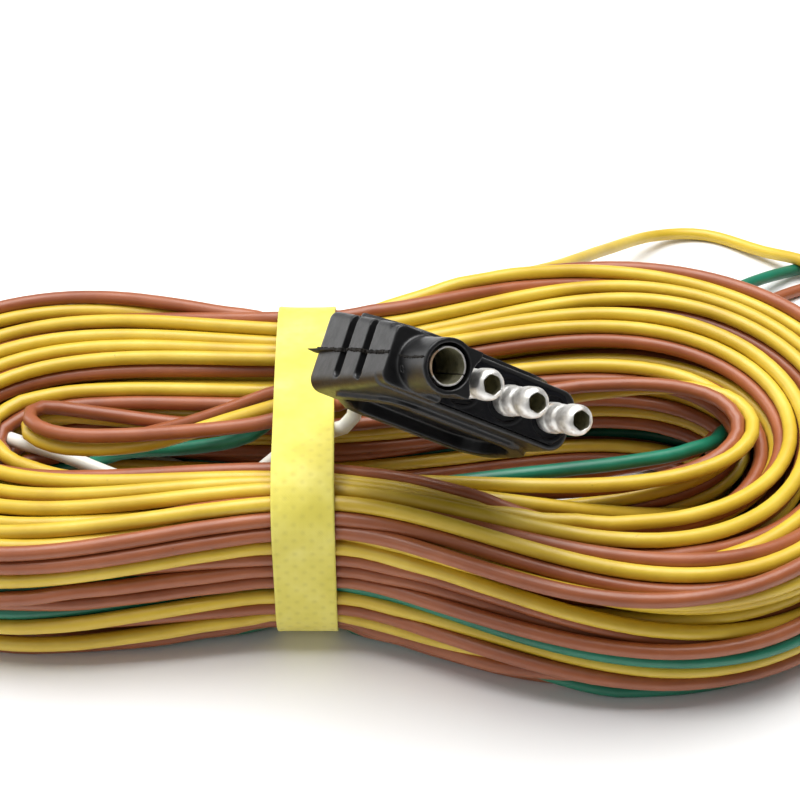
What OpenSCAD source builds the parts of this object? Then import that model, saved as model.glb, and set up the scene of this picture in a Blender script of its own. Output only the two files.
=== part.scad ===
// Four-way flat trailer wiring connector, lying on its own hank of bonded trailer wire.
// The connector is modelled in its own frame: X along the row of contacts, Y from the front
// face back to the wires, Z through its thickness. place_connector() lays it on the hank.

/* [Connector] */
// Distance from one contact to the next
pitch = 7.92; // [7.8:0.01:8.1]
// Depth of the moulded body, front face to back face
body_d = 24.2; // [20:0.2:26]
// Thickness of the body at its front face
front_t = 9.4; // [9:0.2:10.4]
// Thickness of the body at its back face
back_t = 13.2; // [12:0.2:15]
// Reach of the left end from the middle of the row
left_x = 17.6; // [17:0.1:19]
// Reach of the right end from the middle of the row
right_x = 16; // [15.6:0.1:18]
// Depth of the grip grooves at both ends
groove_d = 1.4; // [0.8:0.1:2]
// Length of the socket shroud in front of the face
shroud_len = 10; // [8:0.5:12]
// Outer radius of the socket shroud
shroud_r = 4.1; // [3.9:0.1:4.4]
// Length of a pin in front of the face
pin_len = 9; // [8:0.5:11]
// Radius of a pin at its bead, its largest
pin_r = 2.35; // [2.2:0.05:2.4]

/* [Wire] */
// Outer diameter of every insulated wire
wire_d = 2.5; // [2.2:0.1:2.8]

/* [Hank] */
// Height of the hank under the tie
hank_h = 34; // [30:1:38]
// Half width of the hank under the tie
waist_w = 29; // [26:0.5:32]
// Radius of the left round end
left_r = 38; // [36:1:41]
// Radius of the right round end
right_r = 46; // [43:1:48]
// Width of the tie strap
tie_w = 10.4; // [8:0.2:14]
// Thickness of the tie strap
tie_t = 0.8; // [0.6:0.1:1.2]

/* [Hidden] */
$fn = 48;
e = 0.02;

// Where the connector lies on the hank, and how it is turned
connector_at = [18, -32, 56];
connector_turn = [-37.5, 31.5, 9.5];

// The row, from the socket to the last pin
socket_x = -1.5 * pitch;
brown_x = -0.5 * pitch;
yellow_x = 0.5 * pitch;
green_x = 1.5 * pitch;

// Both wide faces rise by this angle from front to back
taper = atan((back_t - front_t) / 2 / body_d);
// The insert that carries the contacts
insert_d = 9;
insert_t = 7.8;
insert_left = -15.2;
insert_right = 14.6;
insert_chamfer = 1.2;
well_r = 3.3;
well_d = 0.5;
// The proud boss round the root of the shroud
boss_d = 1.9;
boss_half_t = 4.4;
boss_right = -7.4;
// The contacts
contact_r = 2.9;
contact_bore_r = 2.45;
contact_recess = 0.4;
shaft_r = 2.2;
tube_wall = 0.4;
neck_r = 1.9;
barrel_r = 1.45;
barrel_bore_r = 1.05;
double_barrel_r = 2.2;
double_barrel_bore_r = 1.9;
barrel_end = 11;
// Stripped strands and insulation inside the body
strand_r = 0.3;
strand_ring_r = 0.62;
strand_start = 7;
insulation_start = 13;
double_z = 1.4;
double_strand_z = 0.95;
wire_r = wire_d / 2;
wire_hole_r = wire_r + 0.05;

// Hank outline: round ends joined through the waist under the tie
tie_x = -10;
waist_y = -2.3;
left_c = [-58, 3];
right_c = [46, 1.5];
waist_half = tie_w / 2 + 0.1;
spread_run = 46;
left_h = 27;
right_h = 28;
hank_corner = 10;
corner_points = 5;

// Routes of the free wire, point by point, outside the body
strip_len = 7;
white_route = [[-3.9, -13.9, 47.8], [-4.2, -11.6, 44.4], [-2.6, -11, 41], [-1.5, -11.7, 38],
    [-2.2, -12.3, 35], [-5, -12.4, 32.6]];
brown_left_route = [[2.8, -11.7, 44.8], [0.4, -8.2, 41], [-0.6, -6.4, 37.4], [-2, -5.8, 34.6],
    [-5, -5.5, 32.6]];
brown_right_route = [[2.4, -13.6, 42.9], [2.6, -9, 40], [1.6, -4, 38.6], [-1.5, -0.9, 35.8],
    [-5, -0.3, 32.8]];
yellow_route = [[9, -11.4, 39.9], [5.6, -6.6, 36.8], [1.2, -3.9, 34.4], [-5, -3, 32.6]];
green_route = [[15.8, -10.4, 35.8], [11.2, -4.4, 34], [4.6, 0.6, 33.4], [-5, 2.4, 32.6]];
yellow_tail_route = [[16, 31, 30.4], [26, 40, 27.2], [36, 53, 21], [48, 74, 11], [60, 91, 3.2],
    [72, 94.5, 1.25], [83, 87, 2], [90.5, 80, 4.2], [97, 73.5, 4.2], [102, 67, 2.6],
    [106, 59, 1.25], [108, 51, 1.25]];
green_tail_route = [[57, 47.4, 10.5], [67, 59, 8], [79, 72, 4.4], [90, 80.6, 1.7], [102, 86, 1.25],
    [114, 89, 1.25]];
brown_right_tail_route = [[57, 47.4, 7.6], [67, 57, 5], [78, 66, 2.2], [89, 73.4, 1.25],
    [100, 77.6, 1.25], [112, 79, 1.25]];
brown_left_tail_route = [[-44, 34, 9], [-36, 37.5, 4.4], [-26, 40, 1.5], [-14, 41.6, 1.25],
    [-2, 42.4, 1.25], [10, 42.6, 1.25]];

// ---- helpers -------------------------------------------------------------------------------

function blend(a, b, f) = a + (b - a) * f;
function ease(f) = let (g = max(0, min(1, f))) g * g * (3 - 2 * g);
function unit(v) = v / norm(v);

// A smooth curve through the points p, at f from 0 to len(p) - 1
function along(p, f) = let (
        n = len(p),
        i = min(n - 2, floor(f)),
        u = f - i,
        a = p[max(0, i - 1)],
        b = p[i],
        c = p[i + 1],
        d = p[min(n - 1, i + 2)]
    ) 0.5 * (2 * b + (c - a) * u + (2 * a - 5 * b + 4 * c - d) * u * u
        + (3 * b - a - 3 * c + d) * u * u * u);

// One wire: an eight-sided tube along the route p, with per_point rings from point to point
module wire(p, r = wire_r, per_point = 2) {
    sides = 8;
    rings = (len(p) - 1) * per_point + 1;
    c = [for (i = [0 : rings - 1]) along(p, i / per_point)];
    points = [
        for (i = [0 : rings - 1])
            let (
                t = unit(c[min(rings - 1, i + 1)] - c[max(0, i - 1)]),
                s = unit(cross(t, [0.2, 0.1, 1])),
                n = cross(s, t)
            )
            for (k = [0 : sides - 1]) c[i] + r * (cos(360 * k / sides) * s + sin(360 * k / sides) * n)
    ];
    skin = [
        for (i = [0 : rings - 2])
            for (k = [0 : sides - 1])
                let (a = i * sides, b = a + sides, m = (k + 1) % sides)
                each [[a + k, b + k, b + m], [a + k, b + m, a + m]]
    ];
    start = [for (k = [0 : sides - 1]) k];
    end = [for (k = [sides - 1 : -1 : 0]) (rings - 1) * sides + k];
    polyhedron(points, concat(skin, [start, end]));
}

module place_connector() {
    translate(connector_at) rotate(connector_turn) children();
}

// A point of the connector's frame, in the frame of the whole part
function turned(v) = let (
        a = connector_turn[0],
        b = connector_turn[1],
        c = connector_turn[2],
        x = [v[0], v[1] * cos(a) - v[2] * sin(a), v[1] * sin(a) + v[2] * cos(a)],
        y = [x[0] * cos(b) + x[2] * sin(b), x[1], x[2] * cos(b) - x[0] * sin(b)]
    ) [y[0] * cos(c) - y[1] * sin(c), y[0] * sin(c) + y[1] * cos(c), y[2]];
function placed(v) = connector_at + turned(v);

// Stands a shape that was drawn along Z along the connector's Y instead, Z = 0 at y
module along_y(x, y, z = 0) {
    translate([x, y, z]) rotate([-90, 0, 0]) children();
}

// A rod along the connector's Y, from y0 to y1
module rod(x, y0, y1, r, z = 0) {
    along_y(x, y0, z) cylinder(r = r, h = y1 - y0);
}

// A stadium in the plane, from x0 to x1 and from y0 to y1
module stadium(x0, x1, y0, y1) {
    r = (y1 - y0) / 2;
    translate([x0 + r, y0 + r]) circle(r);
    translate([x1 - r, y0 + r]) circle(r);
    translate([x0 + r, y0]) square([x1 - x0 - 2 * r, 2 * r]);
}

// ---- moulded body --------------------------------------------------------------------------

// The body seen from above: three grip ribs with two grooves between them at each end
module body_plan() {
    rib_gaps = [[5.3, 7.6], [12.4, 14.8]];
    difference() {
        translate([-left_x, 0.3]) square([left_x + right_x, body_d - 0.3]);
        for (g = rib_gaps) {
            translate([-left_x - 1, g[0]]) square([1 + groove_d, g[1] - g[0]]);
            translate([right_x - groove_d, g[0]]) square([1 + groove_d, g[1] - g[0]]);
        }
        // rounded back corners
        for (s = [-1, 1]) {
            corner_x = s < 0 ? -left_x : right_x;
            translate([corner_x, body_d]) difference() {
                square(3.2, center = true);
                translate([-s * 1.6, -1.6]) circle(1.6);
            }
        }
    }
}

// The body seen from the end: it grows thicker towards the back
module body_side() {
    polygon([[0, -front_t / 2], [body_d, -back_t / 2], [body_d, back_t / 2], [0, front_t / 2]]);
}

// Puts a shape on a wide face: side 1 is the upper one, -1 the lower one
module on_face(side) {
    mirror([0, 0, side < 0 ? 1 : 0])
        translate([0, 0, front_t / 2]) rotate([taper, 0, 0]) children();
}

// The shroud's tube with its boss and its web, cut round where a mating shroud passes
module shroud() {
    web_x = socket_x + 4.5;
    mating_r = 4.2;
    difference() {
        union() {
            rod(socket_x, -shroud_len, 1, shroud_r);
            translate([-left_x, -boss_d, -boss_half_t])
                cube([boss_right + left_x, boss_d + 1, 2 * boss_half_t]);
            translate([socket_x, -shroud_len, -3.5]) cube([web_x - socket_x, shroud_len + 1, 7.1]);
        }
        rod(brown_x, -shroud_len - 1, 0, mating_r);
    }
}

module housing() {
    color([0.07, 0.07, 0.08])
    place_connector() difference() {
        union() {
            intersection() {
                translate([0, 0, -back_t]) linear_extrude(2 * back_t) body_plan();
                translate([-left_x - 1, 0, 0]) rotate([90, 0, 90])
                    linear_extrude(left_x + right_x + 2) body_side();
            }
            for (side = [-1, 1])
                on_face(side) translate([0, 0, -1]) linear_extrude(1.8)
                    stadium(-13.6, 14.6, 3.6, body_d - 1);
            shroud();
        }
        // finger recess in each wide face
        for (side = [-1, 1])
            on_face(side) translate([0, 0, -0.6]) linear_extrude(3)
                stadium(-11.4, 12.4, 6.2, body_d - 3.4);
        // pocket for the insert
        translate([insert_left, -e, -insert_t / 2])
            cube([insert_right - insert_left, insert_d + e, insert_t]);
        // mouth and bore of the shroud
        rod(socket_x, -shroud_len - 1, -1.2, 3.35);
        rod(socket_x, -2, 1, contact_r);
        // crimp barrels and wires behind the insert
        for (x = [socket_x, yellow_x, green_x]) {
            rod(x, insert_d - e, insulation_start, barrel_r);
            rod(x, insulation_start - e, body_d + 2, wire_hole_r);
        }
        rod(brown_x, insert_d - e, insulation_start, double_barrel_r);
        for (z = [-double_z, double_z])
            rod(brown_x, insulation_start - e, body_d + 2, wire_hole_r, z);
    }
}

// The hard block that holds all four contacts on pitch, with a well round each pin
module terminal_insert() {
    half = insert_t / 2;
    c = insert_chamfer;
    color([0.05, 0.05, 0.07])
    place_connector() difference() {
        rotate([90, 0, 0]) translate([0, 0, -insert_d]) linear_extrude(insert_d)
            polygon([
                [insert_left, -half], [insert_right - c, -half], [insert_right, c - half],
                [insert_right, half - c], [insert_right - c, half], [insert_left, half]
            ]);
        rod(socket_x, -1, insert_d + 1, contact_r);
        for (x = [brown_x, yellow_x, green_x]) {
            rod(x, -1, insert_d + 1, shaft_r);
            rod(x, -1, well_d, well_r);
        }
    }
}

// ---- contacts ------------------------------------------------------------------------------

// A hollow bullet pin. Its tip is at z = 0 and it runs back along Z to its crimp barrel.
module pin_terminal(barrel, bore) {
    face = pin_len;
    rotate_extrude() polygon([
        [1.5, 0], [1.95, 0.12], [2.2, 0.6], [pin_r, 1.6], [pin_r, 2.8], [2.15, 3.4],
        [neck_r, 3.9], [neck_r, 4.3], [shaft_r, 4.9], [shaft_r, face - 2], [pin_r, face - 1.8],
        [pin_r, face], [shaft_r, face + well_d], [shaft_r, face + insert_d - 0.6],
        [barrel, face + insert_d], [barrel, face + barrel_end],
        [bore, face + barrel_end], [bore, face + insert_d - 0.8],
        [shaft_r - tube_wall, face + insert_d - 2.4], [shaft_r - tube_wall, 4.9],
        [neck_r - tube_wall, 4.3], [neck_r - tube_wall, 3.9], [pin_r - tube_wall, 2.8],
        [pin_r - tube_wall, 1.6], [1.55, 0.55]
    ]);
}

// The ground contact: a rolled sleeve with a slit, open to the front
module socket_terminal() {
    face = shroud_len - contact_recess;
    difference() {
        rotate_extrude() polygon([
            [contact_bore_r, 0], [contact_r, 0], [contact_r, face + insert_d - 1],
            [barrel_r, face + insert_d], [barrel_r, face + barrel_end],
            [barrel_bore_r, face + barrel_end], [barrel_bore_r, face + insert_d - 0.8],
            [contact_bore_r, face + insert_d - 2.4]
        ]);
        translate([0, -0.15, -1]) cube([4, 0.3, face + 1]);
    }
}

module socket_contact() {
    color([0.82, 0.8, 0.76])
    place_connector() along_y(socket_x, contact_recess - shroud_len) socket_terminal();
}

module brown_pin() {
    color([0.85, 0.85, 0.83])
    place_connector() along_y(brown_x, -pin_len)
        pin_terminal(double_barrel_r, double_barrel_bore_r);
}

module yellow_pin() {
    color([0.85, 0.85, 0.83])
    place_connector() along_y(yellow_x, -pin_len) pin_terminal(barrel_r, barrel_bore_r);
}

module green_pin() {
    color([0.85, 0.85, 0.83])
    place_connector() along_y(green_x, -pin_len) pin_terminal(barrel_r, barrel_bore_r);
}

// ---- wires ---------------------------------------------------------------------------------

// Seven strands along Z from z = 0
module strands(length) {
    cylinder(r = strand_r, h = length);
    for (k = [0 : 5])
        rotate(60 * k) translate([strand_ring_r, 0, 0]) cylinder(r = strand_r, h = length);
}

module conductor(x, z = 0) {
    color([0.8, 0.45, 0.28])
    place_connector() along_y(x, strand_start, z) strands(insulation_start - strand_start);
}

// Insulated wire from inside the body, straight out of its back and on along its route
module lead(x, route, paint, z = 0) {
    inside = placed([x, insulation_start, z]);
    mouth = placed([x, body_d, z]);
    color(paint) wire(concat([inside, mouth], route));
}

module bare_end(route) {
    last = route[len(route) - 1];
    way = last - route[len(route) - 2];
    color([0.8, 0.45, 0.28])
    translate([last[0], last[1], last[2]]) rotate([0, 90, atan2(way[1], way[0])]) strands(strip_len);
}

yellow_paint = [0.93, 0.77, 0.2];
brown_paint = [0.66, 0.36, 0.22];
green_paint = [0.05, 0.5, 0.36];
white_paint = [0.93, 0.92, 0.88];

// ---- hank and tie --------------------------------------------------------------------------

// How far the hank has spread at x, from 0 under the tie to 1
function spread(x) = ease((abs(x - tie_x) - waist_half) / spread_run);
function end_c(x) = x < tie_x ? left_c : right_c;
function end_r(x) = x < tie_x ? left_r : right_r;
function hank_mid(x) = blend(waist_y, end_c(x)[1], spread(x));
function round_end(x) = let (d = x < tie_x ? left_c[0] - x : x - right_c[0])
    d <= 0 ? end_r(x) : sqrt(max(0.6, end_r(x) * end_r(x) - d * d));
function hank_half(x) = min(blend(waist_w, end_r(x), spread(x)), round_end(x));
function hank_top(x) = blend(hank_h, x < tie_x ? left_h : right_h, spread(x));
function under_tie(x) = abs(x - tie_x) < waist_half + 0.01;

// One section of the hank at x: a rectangle with round corners
function hank_section(x) = let (
        w = hank_half(x),
        low = under_tie(x) ? tie_t : 0,
        top = hank_top(x),
        r = min(hank_corner, w * 0.98, (top - low) * 0.49)
    ) [
        for (q = [0 : 3])
            for (k = [0 : corner_points])
                let (
                    a = 90 * q + 90 * k / corner_points,
                    cy = (q == 0 || q == 3) ? w - r : r - w,
                    cz = q < 2 ? top - r : low + r
                )
                [x, hank_mid(x) + cy + r * cos(a), cz + r * sin(a)]
    ];

module wire_hank() {
    left_end = left_c[0] - left_r;
    right_end = right_c[0] + right_r;
    tie_edges = [tie_x - waist_half - 0.5, tie_x - waist_half, tie_x + waist_half,
        tie_x + waist_half + 0.5];
    // the round ends take their stations by angle, so that they stay round
    left_turn = [for (a = [0 : 10 : 80]) left_c[0] - left_r * cos(a)];
    left_run = [for (f = [0 : 0.2 : 0.8]) blend(left_c[0], tie_edges[0], f)];
    right_run = [for (f = [0.2 : 0.2 : 1]) blend(tie_edges[3], right_c[0], f)];
    right_turn = [for (a = [80 : -10 : 0]) right_c[0] + right_r * cos(a)];
    stations = concat(left_turn, left_run, tie_edges, right_run, right_turn);
    per = 4 * (corner_points + 1);
    rows = len(stations);
    points = [for (x = stations) each hank_section(x)];
    skin = [
        for (i = [0 : rows - 2])
            for (k = [0 : per - 1])
                let (a = i * per, b = a + per, m = (k + 1) % per)
                each [[a + k, a + m, b + m], [a + k, b + m, b + k]]
    ];
    start = [for (k = [per - 1 : -1 : 0]) k];
    end = [for (k = [0 : per - 1]) (rows - 1) * per + k];
    color([0.9, 0.72, 0.2]) polyhedron(points, concat(skin, [start, end]));
}

// A rectangle with round corners, w wide and from z0 to z1, across the hank
module tie_outline(w, z0, z1, r) {
    translate([-w + r, z0]) square([2 * (w - r), z1 - z0]);
    translate([-w, z0 + r]) square([2 * w, z1 - z0 - 2 * r]);
    for (sy = [-1, 1])
        for (z = [z0 + r, z1 - r])
            translate([sy * (w - r), z]) circle(r);
}

module tie_strap() {
    color([0.93, 0.9, 0.5])
    translate([tie_x - tie_w / 2, waist_y, 0]) rotate([90, 0, 90]) linear_extrude(tie_w)
        difference() {
            tie_outline(waist_w + tie_t, 0, hank_h + tie_t, hank_corner + tie_t);
            tie_outline(waist_w, tie_t, hank_h, hank_corner);
        }
}

// ---- one module per remaining node ---------------------------------------------------------

module white_conductor() { conductor(socket_x); }
module brown_left_conductor() { conductor(brown_x, double_strand_z); }
module brown_right_conductor() { conductor(brown_x, -double_strand_z); }
module yellow_conductor() { conductor(yellow_x); }
module green_conductor() { conductor(green_x); }
module white_lead() { lead(socket_x, white_route, white_paint); }
module brown_left_lead() { lead(brown_x, brown_left_route, brown_paint, double_z); }
module brown_right_lead() { lead(brown_x, brown_right_route, brown_paint, -double_z); }
module yellow_lead() { lead(yellow_x, yellow_route, yellow_paint); }
module green_lead() { lead(green_x, green_route, green_paint); }
module yellow_tail() { color(yellow_paint) wire(yellow_tail_route); }
module green_tail() { color(green_paint) wire(green_tail_route); }
module brown_right_tail() { color(brown_paint) wire(brown_right_tail_route); }
module brown_left_tail() { color(brown_paint) wire(brown_left_tail_route); }
module yellow_bare_end() { bare_end(yellow_tail_route); }
module green_bare_end() { bare_end(green_tail_route); }
module brown_right_bare_end() { bare_end(brown_right_tail_route); }
module brown_left_bare_end() { bare_end(brown_left_tail_route); }

housing();
terminal_insert();
socket_contact();
brown_pin();
yellow_pin();
green_pin();
white_conductor();
brown_left_conductor();
brown_right_conductor();
yellow_conductor();
green_conductor();
white_lead();
brown_left_lead();
brown_right_lead();
yellow_lead();
green_lead();
wire_hank();
tie_strap();
yellow_tail();
green_tail();
brown_right_tail();
brown_left_tail();
yellow_bare_end();
green_bare_end();
brown_right_bare_end();
brown_left_bare_end();
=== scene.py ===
"""Looks of a four-way flat trailer wiring connector that lies on its own hank of bonded wire.

Metres, Z up, in the CAD model's frame. The four long wires are relaxed by a small particle
solver, which pushes their turns apart. Some that cross at a large angle still overlap.
"""

import math

import bmesh
import bpy
import numpy as np
from mathutils import Euler, Matrix, Vector


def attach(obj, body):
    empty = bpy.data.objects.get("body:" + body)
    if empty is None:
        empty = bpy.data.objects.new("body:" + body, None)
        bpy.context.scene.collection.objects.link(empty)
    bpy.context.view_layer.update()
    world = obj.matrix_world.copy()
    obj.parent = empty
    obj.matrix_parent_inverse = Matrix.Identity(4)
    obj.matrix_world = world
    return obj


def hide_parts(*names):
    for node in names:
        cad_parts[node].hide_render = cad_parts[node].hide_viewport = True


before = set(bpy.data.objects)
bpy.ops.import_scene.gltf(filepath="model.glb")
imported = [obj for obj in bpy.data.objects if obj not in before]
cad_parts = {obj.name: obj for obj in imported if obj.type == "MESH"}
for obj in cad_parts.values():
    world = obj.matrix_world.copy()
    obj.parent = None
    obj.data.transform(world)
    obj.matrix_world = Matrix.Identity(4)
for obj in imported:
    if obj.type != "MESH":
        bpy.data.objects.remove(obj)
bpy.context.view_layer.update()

SEED = 11

# ---- wire and hank, as in part.scad ----

WIRE_D = 0.0025
WIRE_R = WIRE_D / 2
PITCH = 0.00792
SOCKET_X = -1.5 * PITCH
BODY_D = 0.0242
INSULATION_START = 0.013
DOUBLE_Z = 0.0014
# X and Z of each wire's exit from the housing
EXITS = {"white": (SOCKET_X, 0), "brown_left": (-PITCH / 2, DOUBLE_Z),
         "brown_right": (-PITCH / 2, -DOUBLE_Z), "yellow": (PITCH / 2, 0),
         "green": (1.5 * PITCH, 0)}
CONNECTOR_AT = (0.018, -0.032, 0.056)
CONNECTOR_TURN = (-37.5, 31.5, 9.5)

TIE_X = -0.010
TIE_HALF = 0.0053
TIE_T = 0.0008
WAIST_Y = -0.0023
WAIST_W = 0.029
HANK_H = 0.034
HANK_CORNER = 0.010
LOW_CORNER = 0.009
HIGH_CORNER = 0.005
SPREAD_RUN = 0.046
LEFT_C = (-0.058, 0.003)
RIGHT_C = (0.046, 0.0015)
LEFT_R = 0.038
RIGHT_R = 0.046
LEFT_H = 0.027
RIGHT_H = 0.028
STRIP_LEN = 0.007

# ---- the winding, which part.scad does not have ----

# How much higher than in part.scad the hank stands along its back, and from which Y on
LEFT_RISE = 0.0018
RIGHT_RISE = 0.0034
FULL_RISE_Y = 0.030
# How thick the winding is, from its outside in
WAIST_THICK = 0.0195
LEFT_THICK = 0.030
RIGHT_THICK = 0.0235

# Turns of each bonded pair, and the places in the hank's section: columns inwards, rows upwards
TURNS = 23
COLUMNS = 8
PAIR_ROWS = 6

# Routes of the free wire outside the body, point by point, as in part.scad
WHITE_ROUTE = [(-0.0039, -0.0139, 0.0478), (-0.0042, -0.0116, 0.0444), (-0.0026, -0.011, 0.041),
               (-0.0015, -0.0117, 0.038), (-0.0022, -0.0123, 0.035), (-0.005, -0.0124, 0.0326)]
BROWN_LEFT_ROUTE = [(0.0028, -0.0117, 0.0448), (0.0004, -0.0082, 0.041),
                    (-0.0006, -0.0064, 0.0374), (-0.002, -0.0058, 0.0346),
                    (-0.005, -0.0055, 0.0326)]
BROWN_RIGHT_ROUTE = [(0.0024, -0.0136, 0.0429), (0.0026, -0.009, 0.040), (0.0016, -0.004, 0.0386),
                     (-0.0015, -0.0009, 0.0358), (-0.005, -0.0003, 0.0328)]
YELLOW_ROUTE = [(0.009, -0.0114, 0.0399), (0.0056, -0.0066, 0.0368), (0.0012, -0.0039, 0.0344),
                (-0.005, -0.003, 0.0326)]
GREEN_ROUTE = [(0.0158, -0.0104, 0.0358), (0.0112, -0.0044, 0.034), (0.0046, 0.0006, 0.0334),
               (-0.005, 0.0024, 0.0326)]
YELLOW_TAIL = [(0.016, 0.031, 0.0304), (0.026, 0.040, 0.0272), (0.036, 0.053, 0.021),
               (0.048, 0.074, 0.011), (0.060, 0.091, 0.0032), (0.072, 0.0945, 0.00125),
               (0.083, 0.087, 0.002), (0.0905, 0.080, 0.0042), (0.097, 0.0735, 0.0042),
               (0.102, 0.067, 0.0026), (0.106, 0.059, 0.00125), (0.108, 0.051, 0.00125)]
GREEN_TAIL = [(0.057, 0.0474, 0.0105), (0.067, 0.059, 0.008), (0.079, 0.072, 0.0044),
              (0.090, 0.0806, 0.0017), (0.102, 0.086, 0.00125), (0.114, 0.089, 0.00125)]
BROWN_RIGHT_TAIL = [(0.057, 0.0474, 0.0076), (0.067, 0.057, 0.005), (0.078, 0.066, 0.0022),
                    (0.089, 0.0734, 0.00125), (0.100, 0.0776, 0.00125), (0.112, 0.079, 0.00125)]
BROWN_LEFT_TAIL = [(-0.044, 0.034, 0.009), (-0.036, 0.0375, 0.0044), (-0.026, 0.040, 0.0015),
                   (-0.014, 0.0416, 0.00125), (-0.002, 0.0424, 0.00125),
                   (0.010, 0.0426, 0.00125)]

# From the leads, under the tie and into the winding
YELLOW_HOLLOW = [(-0.010, -0.003, 0.0322), (-0.022, -0.003, 0.028), (-0.037, -0.0046, 0.0236),
                 (-0.050, -0.004, 0.022), (-0.057, -0.001, 0.0217), (-0.059, 0.003, 0.0213),
                 (-0.056, 0.0068, 0.0206), (-0.046, 0.0085, 0.0185), (-0.032, 0.009, 0.0165),
                 (-0.014, 0.007, 0.0165), (0.010, 0.008, 0.018), (0.028, 0.011, 0.020)]
BROWN_LEFT_HOLLOW = [(-0.010, -0.0055, 0.0322), (-0.018, -0.0065, 0.0295),
                     (-0.036, -0.0055, 0.0265), (-0.050, -0.004, 0.025), (-0.0565, -0.001, 0.0246),
                     (-0.0585, 0.003, 0.0240), (-0.056, 0.006, 0.0232), (-0.047, 0.0072, 0.0208),
                     (-0.032, 0.0072, 0.0185), (-0.012, 0.0055, 0.0190), (0.010, 0.007, 0.0205),
                     (0.028, 0.011, 0.0225)]
GREEN_HOLLOW = [(-0.010, 0.0020, 0.0316), (-0.014, 0.0003, 0.0282), (-0.020, -0.0034, 0.0244),
                (-0.030, -0.0018, 0.0205), (-0.043, 0.0012, 0.0168), (-0.052, -0.0005, 0.0135)]
BROWN_RIGHT_HOLLOW = [(-0.010, -0.0004, 0.0322), (-0.015, 0.0006, 0.0308), (-0.021, 0.0022, 0.027),
                      (-0.030, 0.0036, 0.022), (-0.040, 0.0046, 0.018), (-0.052, 0.0025, 0.0158)]
WHITE_HOLLOW = [(-0.010, -0.0118, 0.0318), (-0.015, -0.0118, 0.0265), (-0.023, -0.0105, 0.0185),
                (-0.033, -0.0065, 0.0142), (-0.044, -0.0025, 0.0148), (-0.053, 0.0002, 0.0172),
                (-0.062, 0.0035, 0.0178), (-0.0665, 0.0085, 0.016), (-0.064, 0.014, 0.013),
                (-0.056, 0.016, 0.010), (-0.044, 0.014, 0.007), (-0.030, 0.010, 0.0045),
                (-0.016, 0.008, 0.0030), (-0.004, 0.0075, 0.0024), (0.004, 0.0065, 0.0013),
                (0.0095, 0.002, 0.0013), (0.006, -0.0035, 0.0014), (-0.004, -0.0065, 0.0022),
                (-0.016, -0.0065, 0.0022), (-0.030, -0.0055, 0.0014), (-0.044, -0.005, 0.0013),
                (-0.054, -0.002, 0.0013), (-0.060, -0.0015, 0.0013), (-0.064, 0.003, 0.0013),
                (-0.061, 0.008, 0.0013), (-0.054, 0.0085, 0.0013), (-0.044, 0.0065, 0.0013),
                (-0.032, 0.002, 0.0013)]


# ---- camera, light, floor ----

CAMERA_AT = (0.0055, -0.252, 0.2263)
LOOK_DOWN = 38


def make_camera():
    """An 85 mm lens that looks along +Y and LOOK_DOWN degrees down, as the photo does."""
    data = bpy.data.cameras.new("camera")
    data.lens = 85
    data.sensor_width = 36
    data.clip_start = 0.01
    data.clip_end = 20
    data.dof.use_dof = False
    camera = bpy.data.objects.new("camera", data)
    camera.location = CAMERA_AT
    camera.rotation_euler = (math.radians(90 - LOOK_DOWN), 0, 0)
    bpy.context.scene.collection.objects.link(camera)
    bpy.context.scene.camera = camera


def make_light(name, at, aim, size, power):
    data = bpy.data.lights.new(name, "AREA")
    data.shape = "RECTANGLE"
    data.size, data.size_y = size
    data.energy = power
    light = bpy.data.objects.new(name, data)
    light.location = at
    light.rotation_euler = (Vector(aim) - Vector(at)).to_track_quat("-Z", "Y").to_euler()
    bpy.context.scene.collection.objects.link(light)


def make_lights():
    middle = (0, 0, 0.02)
    make_light("key_above", (0.0, 0.14, 0.72), middle, (0.85, 0.7), 10.3)
    make_light("fill_front", (-0.55, -0.65, 0.6), middle, (0.6, 0.5), 1.0)
    make_light("rim_left", (-0.75, 0.35, 0.30), middle, (0.4, 0.5), 1.8)
    # the room is bright overhead, behind and on the left, and dimmer at the front right
    world = bpy.data.worlds.new("studio")
    world.use_nodes = True
    tree = world.node_tree
    way = tree.nodes.new("ShaderNodeTexCoord").outputs["Generated"]
    dot = tree.nodes.new("ShaderNodeVectorMath")
    dot.operation = "DOT_PRODUCT"
    dot.inputs[1].default_value = (0.75, -0.62, 0.12)
    shade = tree.nodes.new("ShaderNodeMapRange")
    shade.inputs["From Min"].default_value = 0.1
    shade.inputs["From Max"].default_value = 0.8
    shade.inputs["To Min"].default_value = 0.30
    shade.inputs["To Max"].default_value = 0.14
    tree.links.new(way, dot.inputs[0])
    tree.links.new(dot.outputs["Value"], shade.inputs["Value"])
    tree.links.new(shade.outputs["Result"], tree.nodes["Background"].inputs["Strength"])
    tree.nodes["Background"].inputs["Color"].default_value = (1, 1, 1, 1)
    bpy.context.scene.world = world
    bpy.context.scene.view_settings.view_transform = "Standard"


# ---- lines in space ----

def placed(point):
    """A point of the connector's own frame, in the frame of the whole part."""
    turn = Euler([math.radians(a) for a in CONNECTOR_TURN]).to_matrix()
    return tuple(turn @ Vector(point) + Vector(CONNECTOR_AT))


def spline(a, b, c, d, u):
    """The Catmull-Rom curve from b to c, at u from 0 to 1."""
    return 0.5 * (2 * b + (c - a) * u + (2 * a - 5 * b + 4 * c - d) * u ** 2
                  + (3 * b - a - 3 * c + d) * u ** 3)


def sampled(at, knots, points):
    """The points that stand at the knots, read off at other places along them."""
    return np.column_stack([np.interp(at, knots, column) for column in points.T])


def reach_of(line):
    """How far along the line each of its points is."""
    steps = np.linalg.norm(np.diff(line, axis=0), axis=1)
    return np.concatenate([[0], np.cumsum(steps)])


def units(vectors):
    return vectors / np.maximum(np.linalg.norm(vectors, axis=1), 1e-9)[:, None]


# Steps from each point of a curve to the next, before the curve is spaced evenly
CURVE_STEPS = 24


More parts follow.
